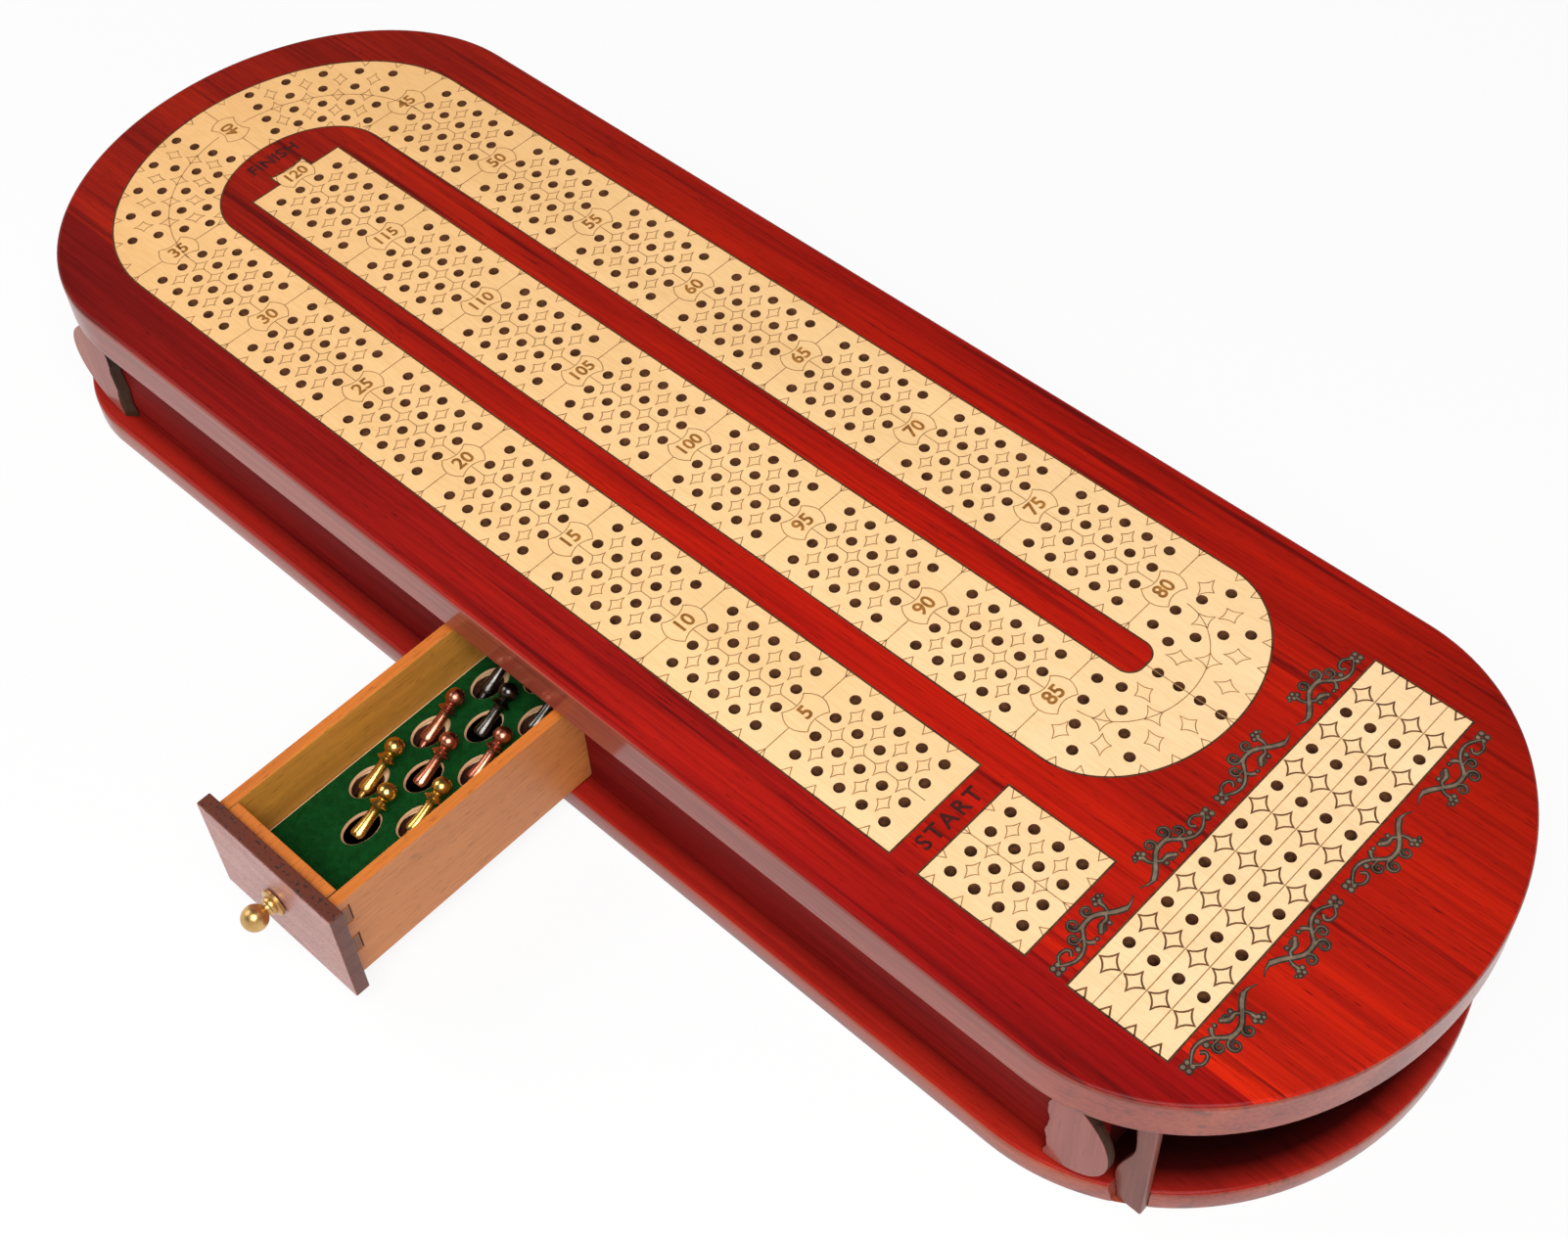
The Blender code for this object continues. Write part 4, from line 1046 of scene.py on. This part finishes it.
def lettering(bm, text, height, x, y, turn=90, spacing=1.0):
    """Adds a word, centred on a place, to a mesh."""
    curve = bpy.data.curves.new("lettering", "FONT")
    curve.body = text
    curve.size = height / CAPITAL_SHARE
    curve.offset = THICKEN
    curve.space_character = spacing
    curve.align_x = "CENTER"
    curve.align_y = "CENTER"
    curve.resolution_u = 3
    holder = bpy.data.objects.new("lettering", curve)
    scene.collection.objects.link(holder)
    graph = bpy.context.evaluated_depsgraph_get()
    mesh = bpy.data.meshes.new_from_object(holder.evaluated_get(graph))
    mesh.transform(Matrix.Translation((x, y, BOARD_TOP - SUNK)) @ Matrix.Rotation(radians(turn), 4, "Z"))
    bm.from_mesh(mesh)
    bpy.data.objects.remove(holder)
    bpy.data.curves.remove(curve)
    bpy.data.meshes.remove(mesh)


numerals, words = bmesh.new(), bmesh.new()
for x, lane, score in labels:
    lettering(numerals, str(score), NUMERAL if score < 100 else NARROW_NUMERAL, x, lane)
lettering(numerals, "40", NUMERAL, *forty, turn=180)
lettering(words, "START", CAPITAL, (LANE_RIGHT + start_low.x) / 2, START_Y, spacing=1.25)
lettering(words, "FINISH", NUMERAL, LANE_LEFT - FINISH_GAP, 0, spacing=1.05)
engraved("score_numerals", numerals, burnt_number)
engraved("burnt_words", words, burnt_word)
print("Numbers and words are burnt in")

# %% [markdown]
# ## Scrolls beside the counter
# Small scrolls flank the counter strip: a curved stem with four swirls, a lobed leaf, a hook and a rosette
# at its head. It is a plain ornament, drawn once and mirrored to eight places. The strokes have dark
# outlines and a paler middle, which is a painted glint along each engraved groove, so each is laid twice,
# first broad and dark, then narrower and pale.

# %% Parts of a scroll
MM = 0.001


def smooth_path(*points):
    """A soft curve through a few places, given in millimetres."""
    path = [Vector(point) * MM for point in points]
    curve = [path[0]]
    for before, here, after in zip(path, path[1:], path[2:]):
        curve += bowed((before + here) / 2, (here + after) / 2, here, 4)
    return [*curve, path[-1]]


def swirl(x, y, radius, first, turns, steps=24):
    """A spiral that starts at an angle on its rim and winds inwards; negative turns wind clockwise."""
    points = []
    for i in range(steps + 1):
        angle = radians(first) + turns * 2 * pi * i / steps
        out = Vector((cos(angle), sin(angle))) * radius * (1 - 0.8 * i / steps)
        points.append((Vector((x, y)) + out) * MM)
    return points


STEMS = (
    (smooth_path((-0.9, 1.2), (-1.2, -1.4), (-0.9, -3.5), (0.6, -5.6), (2.4, -7.8), (3.5, -10)), 1.5, 1.7),
    (smooth_path((2.9, -8.8), (3.5, -10), (3.3, -11.8), (2.4, -13.6)), 1.7, 0.35),
    (
        smooth_path((-1.1, -0.4), (-0.4, 1.2), (1.9, 3.1), (3.4, 5.4), (3.5, 8.2), (2.4, 10.2), (1.6, 11.4)),
        1.5,
        1.1,
    ),
    (smooth_path((1.0, 11.0), (-0.4, 9.8), (-0.2, 7.6), (1.0, 6.8), (1.9, 7.9)), 1.0, 1.2),
    (smooth_path((1.0, -6.3), (-0.4, -7.0), (-2.2, -6.9)), 1.0, 1.4),
    (smooth_path((0.7, -5.6), (2.0, -4.8), (1.7, -3.0), (2.7, -1.6)), 1.2, 1.5),
    (smooth_path((1.4, 2.9), (2.6, 2.7), (3.6, 1.5)), 1.1, 1.5),
    (smooth_path((-0.6, 0.8), (0.9, 1.8), (0.9, 4.0)), 1.1, 1.0),
    (swirl(-0.4, 4.2, 1.4, 0, 1.4), 1.0, 0.8),
    (swirl(-2.7, 1.5, 1.7, -20, 1.5), 1.05, 0.8),
    (swirl(-2.7, -3.3, 1.5, 20, 1.4), 1.0, 0.8),
    (swirl(2.6, -2.6, 1.1, 200, -1.2), 0.9, 0.8),
)
BUDS = (
    (1.9, 5.5, 0.95), (2.9, -4.4, 0.8), (3.0, -1.3, 0.8), (3.4, 0.6, 0.7),
    (0.9, 12.9, 0.95), (2.5, 13.0, 0.95), (1.0, 11.5, 0.9), (2.5, 11.5, 0.9),
    (-2.4, -6.1, 0.85), (-3.4, -6.8, 0.8), (-2.3, -7.4, 0.85), (-3.3, -8.1, 0.75), (-2.7, -8.8, 0.6),
)
print("A scroll has", len(STEMS), "strokes and", len(BUDS), "buds")

# %% Scrolls
HAIR, DARK_EDGES = 0.0000015, 0.00082
SCROLL_GAP = 0.0056
SCROLL_ROWS = ((0.0443, 1), (0.0148, -1), (-0.0153, 1), (-0.0449, -1))


def scroll(bm, place, spare):
    """One ornament, drawn upright and then placed; spare is what each stroke gains in width."""
    drawing = bmesh.new()
    for points, width, tip in STEMS:
        bmesh.ops.translate(drawing, verts=drawing.verts, vec=(0, 0, HAIR))
        stroke(drawing, points, max(width * MM + spare, HAIR), tip=max(tip * MM + spare, HAIR))
    for x, y, radius in BUDS:
        bmesh.ops.translate(drawing, verts=drawing.verts, vec=(0, 0, HAIR))
        at = Matrix.Translation((x * MM, y * MM, BOARD_TOP - SUNK))
        round_bud = radius * MM + spare / 2
        bmesh.ops.create_circle(drawing, cap_ends=True, segments=10, radius=round_bud, matrix=at)
    bmesh.ops.transform(drawing, matrix=place, verts=drawing.verts)
    mesh = bpy.data.meshes.new("scroll")
    drawing.to_mesh(mesh)
    drawing.free()
    bm.from_mesh(mesh)
    bpy.data.meshes.remove(mesh)


# Dark strokes first, then narrower pale ones on top as a painted glint.
for name, finish, spare, lift in (
    ("scroll_lines", scroll_dark, 0.0, 4 * HAIR),
    ("scroll_lights", scroll_painted_glint, -DARK_EDGES, LIFT + 4 * HAIR),
):
    ornament = bmesh.new()
    for side in (-1, 1):
        x = COUNTER_X + side * (counter_high.x - COUNTER_X + SCROLL_GAP)
        for y, upright in SCROLL_ROWS:
            scroll(ornament, Matrix.Translation((x, y, 0)) @ Matrix.Diagonal((-side, upright, 1, 1)), spare)
    engraved(name, ornament, finish, lift=lift)
print("Scrolls are drawn")

# %% [markdown]
# ## The drawer's box
# The box is finger jointed. Its solids are right already, so they only get eased edges and a finish for
# each way a face looks: a bright edge on top, satin olive inside, a pinker tan outside, and dull end
# grain on the fingers. Choosing by the face's direction is less work than painting, and it is true to how
# the parts were cut and handled.

# %% Drawer box
UP, RIGHT, BACK = Vector((0, 0, 1)), Vector((1, 0, 0)), Vector((0, 1, 0))
BOX_EASE, FRONT_EASE, FACING = 0.00025, 0.0004, 0.7


def add_board(name, node, finishes, looks, ease=BOX_EASE):
    """An eased copy of a solid; looks gives the direction of the faces that take each further finish."""
    bm = eased(copy_of(node), ease)
    for face in bm.faces:
        for index, directions in enumerate(looks, start=1):
            if any(face.normal.dot(direction) > FACING for direction in directions):
                face.material_index = index
    return add_piece(name, bm, finishes, "drawer", [node])


box_tones = [honey_side, honey_edge, olive_wall, finger_end]
add_board("box_side_left", "drawer_side_left", box_tones, [[UP], [RIGHT], [BACK, -BACK]])
add_board("box_side_right", "drawer_side_right", box_tones, [[UP], [-RIGHT], [BACK, -BACK]])
add_board("box_front", "drawer_inner_front", box_tones, [[UP], [BACK], [RIGHT, -RIGHT]])
add_board("box_back", "drawer_back", box_tones, [[UP], [-BACK], [RIGHT, -RIGHT]])
front_tones, rim_ways = [front_wood, front_edge], [[UP, RIGHT, -RIGHT, -UP]]
add_board("show_front", "drawer_front", front_tones, rim_ways, FRONT_EASE)
print("Box boards are eased")

# %% [markdown]
# ## Peg rest and felt
# Slanting sockets meet the flat rest in ovals. The felt is cut back a little round each, so a pale rim of
# wood shows between green and dark. The socket walls are dark: partly end grain, partly painted shade inside
# the sockets. The rest is carved with round cutters, and the felt is a sheet filled around the ovals.

# %% Peg rest
SLANT, SOCKET_RADIUS, RIM = radians(40), 0.0035, 0.0005
SOCKET_LENGTH, SOCKET_MIDDLE = 0.0313, 0.00435
DRAWER_X, DRAWER_Y = -0.0025, -0.14945
FIRST_ROW, SOCKET_ROW, ROW_BOW = 0.024, 0.0207, 0.01035
COLUMN_SHIFT, SOCKET_COLUMN = 0.0012, 0.0091
SKIN = 1e-5
felt_low, felt_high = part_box("felt_lining")
rest_low, rest_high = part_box("peg_rest")
METALS = ("brass", "copper", "nickel", "silver")
slanted = Matrix.Rotation(SLANT - pi / 2, 4, "X")
sockets = []
for row, name in enumerate(METALS):
    for column in (-1, 0, 1):
        x = DRAWER_X - COLUMN_SHIFT + SOCKET_COLUMN * column
        y = DRAWER_Y + FIRST_ROW + SOCKET_ROW * row + ROW_BOW * abs(column)
        mouth = Vector((x, y, felt_high.z))
        sockets.append((f"peg_{name}_{column + 2}", name, mouth))
cutters = bmesh.new()
for _, _, mouth in sockets:
    place = Matrix.Translation(mouth) @ slanted @ Matrix.Translation((0, 0, SOCKET_MIDDLE))
    rod = {"radius1": SOCKET_RADIUS, "radius2": SOCKET_RADIUS, "depth": SOCKET_LENGTH}
    bmesh.ops.create_cone(cutters, cap_ends=True, segments=28, matrix=place, **rod)
rest = carved(raised(box_outline("peg_rest"), rest_low.z, rest_high.z), cutters)
# Faces inside the sockets take the dark finish with painted shade.
for face in rest.faces:
    place = face.calc_center_median()
    between_levels = rest_low.z + SKIN < place.z < rest_high.z - SKIN
    between_sides = rest_low.x + SKIN < place.x < rest_high.x - SKIN
    face.material_index = int(between_levels and between_sides)
add_piece("carved_rest", rest, [rest_wood, socket_grain_and_shade], "drawer", ["peg_rest"])
print("Rest has", len(sockets), "sockets")

# %% Felt
def oval(mouth, margin, steps=36):
    """The mouth of a slanting socket in a level face."""
    short, long = SOCKET_RADIUS + margin, SOCKET_RADIUS / sin(SLANT) + margin
    return arc(mouth.x, mouth.y, short, long, 0, 360 - 360 / steps, steps - 1)


TRIM, LEFT_TRIM = 0.0003, 0.0010
left, right = felt_low.x + LEFT_TRIM, felt_high.x - TRIM
near, far = felt_low.y + TRIM, felt_high.y - TRIM
lining = bmesh.new()
edges = ring(lining, [(left, near), (right, near), (right, far), (left, far)], felt_low.z)
for _, _, mouth in sockets:
    edges += ring(lining, oval(mouth, RIM), felt_low.z)
bmesh.ops.triangle_fill(lining, use_beauty=True, edges=edges)
thickened(lining, felt_high.z - felt_low.z)
cloth_area = sum(face.calc_area() for face in lining.faces if face.normal.z > 0.9)
cloth = add_piece("felt_sheet", lining, [felt], "drawer", ["felt_lining"])
print("Felt:", round(cloth_area * 1e4, 1), "square centimetres")

# %% Rims round the sockets
RIM_SECTION = ((RIM, 0.0001), (0, 0.0006), (0, 0.0009), (RIM, 0.0009))
rims = bmesh.new()
for _, _, mouth in sockets:
    loops = []
    for margin, drop in RIM_SECTION:
        loops.append(ring(rims, oval(mouth, margin), felt_high.z - drop))
    for first, second in zip(loops, loops[1:] + loops[:1]):
        bmesh.ops.bridge_loops(rims, edges=first + second)
bmesh.ops.recalc_face_normals(rims, faces=rims.faces)
add_piece("socket_rims", rims, [rim_wood], "drawer")
print("Rims:", len(sockets))

# %% [markdown]
# ## Turned pegs and knob
# Pegs and knob are lathe work, so a profile spun about an axis makes each. A peg has a ball, a flared
# collar and a waisted body, and leans on the low side of its socket. The knob is a ball on a short neck
# and a thick flange.

# %% Pegs
def turned(profile, steps, place):
    """A profile of radius and height, spun about Z and put in its place."""
    bm = bmesh.new()
    points = [bm.verts.new((radius, 0, height)) for radius, height in profile]
    edges = [bm.edges.new(pair) for pair in zip(points, points[1:])]
    turn = {"cent": (0, 0, 0), "axis": (0, 0, 1), "dvec": (0, 0, 0), "angle": 2 * pi}
    bmesh.ops.spin(bm, geom=points + edges, steps=steps, use_merge=True, **turn)
    bmesh.ops.remove_doubles(bm, verts=bm.verts, dist=MERGE)
    bmesh.ops.recalc_face_normals(bm, faces=bm.faces)
    bmesh.ops.transform(bm, matrix=place, verts=bm.verts)
    return bm


BODY, BODY_RADIUS, BALL = 0.0137, 0.0023, 0.0026
PIN, PIN_RADIUS = 0.008, 0.00142
SEAT_GAP, SEAT_DEPTH, LEAN = 0.0006, 0.003, radians(-8)
collar = (
    (1.55, 0.185), (1.7, 0.205), (2.1, 0.235), (2.6, 0.262),
    (2.7, 0.275), (2.6, 0.292), (1.6, 0.31), (1.42, 0.33),
)
waist = (
    (1.36, 0.40), (1.42, 0.52), (1.6, 0.66), (1.9, 0.79),
    (2.2, 0.88), (2.3, 0.93), (2.2, 0.975), (1.42, 1.0),
)
profile = arc(0, 0, BALL, BALL, 90, -50, 16)
profile += [(radius * MM, -BODY * share) for radius, share in collar + waist]
profile += [(PIN_RADIUS, -BODY - PIN), (0, -BODY - PIN)]
drop = SOCKET_RADIUS * cos(pi / 10) - BODY_RADIUS - SEAT_GAP
leaning = Matrix.Rotation(LEAN, 4, "X") @ Matrix.Translation((0, 0, BODY))
seat = Matrix.Translation((0, drop, -SEAT_DEPTH)) @ leaning
for node, name, mouth in sockets:
    peg = turned(profile, 32, Matrix.Translation(mouth) @ slanted @ seat)
    add_piece("turned_" + node, peg, [metals[name]], node, [node])
print("Pegs:", len(sockets))

# %% Knob
KNOB_SHIFT, FRONT_THICKNESS, KNOB_HEIGHT = 0.001, 0.0042, 0.026
KNOB_REACH, KNOB_RADIUS, KNOB_FOOT = 0.0068, 0.0035, 0.0022
knob_place = Matrix.Translation((DRAWER_X + KNOB_SHIFT, DRAWER_Y - FRONT_THICKNESS, KNOB_HEIGHT))
mounted = knob_place @ Matrix.Rotation(pi / 2, 4, "X")
flange = ((1.3, 2.2), (1.3, 0.3), (3.6, 0.3), (3.9, 0.5), (3.9, 1.3), (3.6, 1.6), (2.9, 1.7), (2.6, 1.8))
neck = ((2.6, 2.5), (2.4, 2.75), (1.9, 2.85), (1.75, 3.1), (1.75, 3.6))
profile = [(0, KNOB_FOOT)] + [(radius * MM, height * MM) for radius, height in flange + neck]
profile += arc(0, KNOB_REACH, KNOB_RADIUS, KNOB_RADIUS, -60, 90, 24)
add_piece("turned_knob", turned(profile, 48, mounted), [knob_brass], "drawer", ["drawer_knob"])
print("The knob is turned")

# %% [markdown]
# ## Floor and light
# The picture is a studio shot on white. One big soft lamp stands behind the camera and a weaker one at
# the left, and the surroundings are white near the horizon and dark overhead. That keeps the planed top
# free of glare while its edges still mirror the white table. The floor mostly glows to the camera and in
# reflections, so it reads as white without more light on the board, and takes only a faint shadow.

# %% Floor
FLOOR_HALF, FLOOR_LOW, FLOOR_GLOW = 6, 0.0004, 0.88


def pale_floor():
    material, tree = new_finish("pale_floor", Roughness=0.9, Base_Color=(0.92, 0.92, 0.92, 1))
    glow = tree.nodes.new("ShaderNodeEmission")
    rays = tree.nodes.new("ShaderNodeLightPath")
    seen = rays.outputs["Is Camera Ray"]
    for kind in ("Is Glossy Ray", "Is Transmission Ray"):
        either = tree.nodes.new("ShaderNodeMath")
        either.operation = "MAXIMUM"
        tree.links.new(seen, either.inputs[0])
        tree.links.new(rays.outputs[kind], either.inputs[1])
        seen = either.outputs[0]
    share = tree.nodes.new("ShaderNodeMath")
    share.operation = "MULTIPLY"
    share.inputs[1].default_value = FLOOR_GLOW
    tree.links.new(seen, share.inputs[0])
    mixed = tree.nodes.new("ShaderNodeMixShader")
    tree.links.new(share.outputs[0], mixed.inputs[0])
    tree.links.new(tree.nodes["Principled BSDF"].outputs[0], mixed.inputs[1])
    tree.links.new(glow.outputs[0], mixed.inputs[2])
    tree.links.new(mixed.outputs[0], tree.nodes["Material Output"].inputs["Surface"])
    return material


grid = bmesh.new()
laid = Matrix.Translation((0, 0, -FLOOR_LOW))
bmesh.ops.create_grid(grid, x_segments=1, y_segments=1, size=FLOOR_HALF, matrix=laid)
ground = bpy.data.meshes.new("floor")
grid.to_mesh(ground)
grid.free()
ground.materials.append(pale_floor())
floor = bpy.data.objects.new("floor", ground)
scene.collection.objects.link(floor)
print("Floor is laid")

# %% Light
def studio_sky():
    world = bpy.data.worlds.new("studio")
    world.use_nodes = True
    tree = world.node_tree
    direction = tree.nodes.new("ShaderNodeTexCoord")
    split = tree.nodes.new("ShaderNodeSeparateXYZ")
    tree.links.new(direction.outputs["Generated"], split.inputs["Vector"])
    glow = ramp(tree, split.outputs["Z"], (0.22, grey(0.95)), (0.48, grey(0.06)), (1.0, grey(0.04)))
    tree.links.new(glow, tree.nodes["Background"].inputs["Color"])
    return world


def soft_box(name, place, target, size, power):
    light = bpy.data.lights.new(name, "AREA")
    light.size = size
    light.energy = power
    lamp = bpy.data.objects.new(name, light)
    scene.collection.objects.link(lamp)
    lamp.location = place
    lamp.rotation_euler = (Vector(target) - Vector(place)).to_track_quat("-Z", "Y").to_euler()


scene.world = studio_sky()
soft_box("key_light", (0.55, -0.55, 1.25), (0, 0, 0.03), 0.9, 20)
soft_box("fill_light", (-0.9, -0.5, 0.9), (0, 0, 0.03), 0.7, 5)
print("Lamps are on")
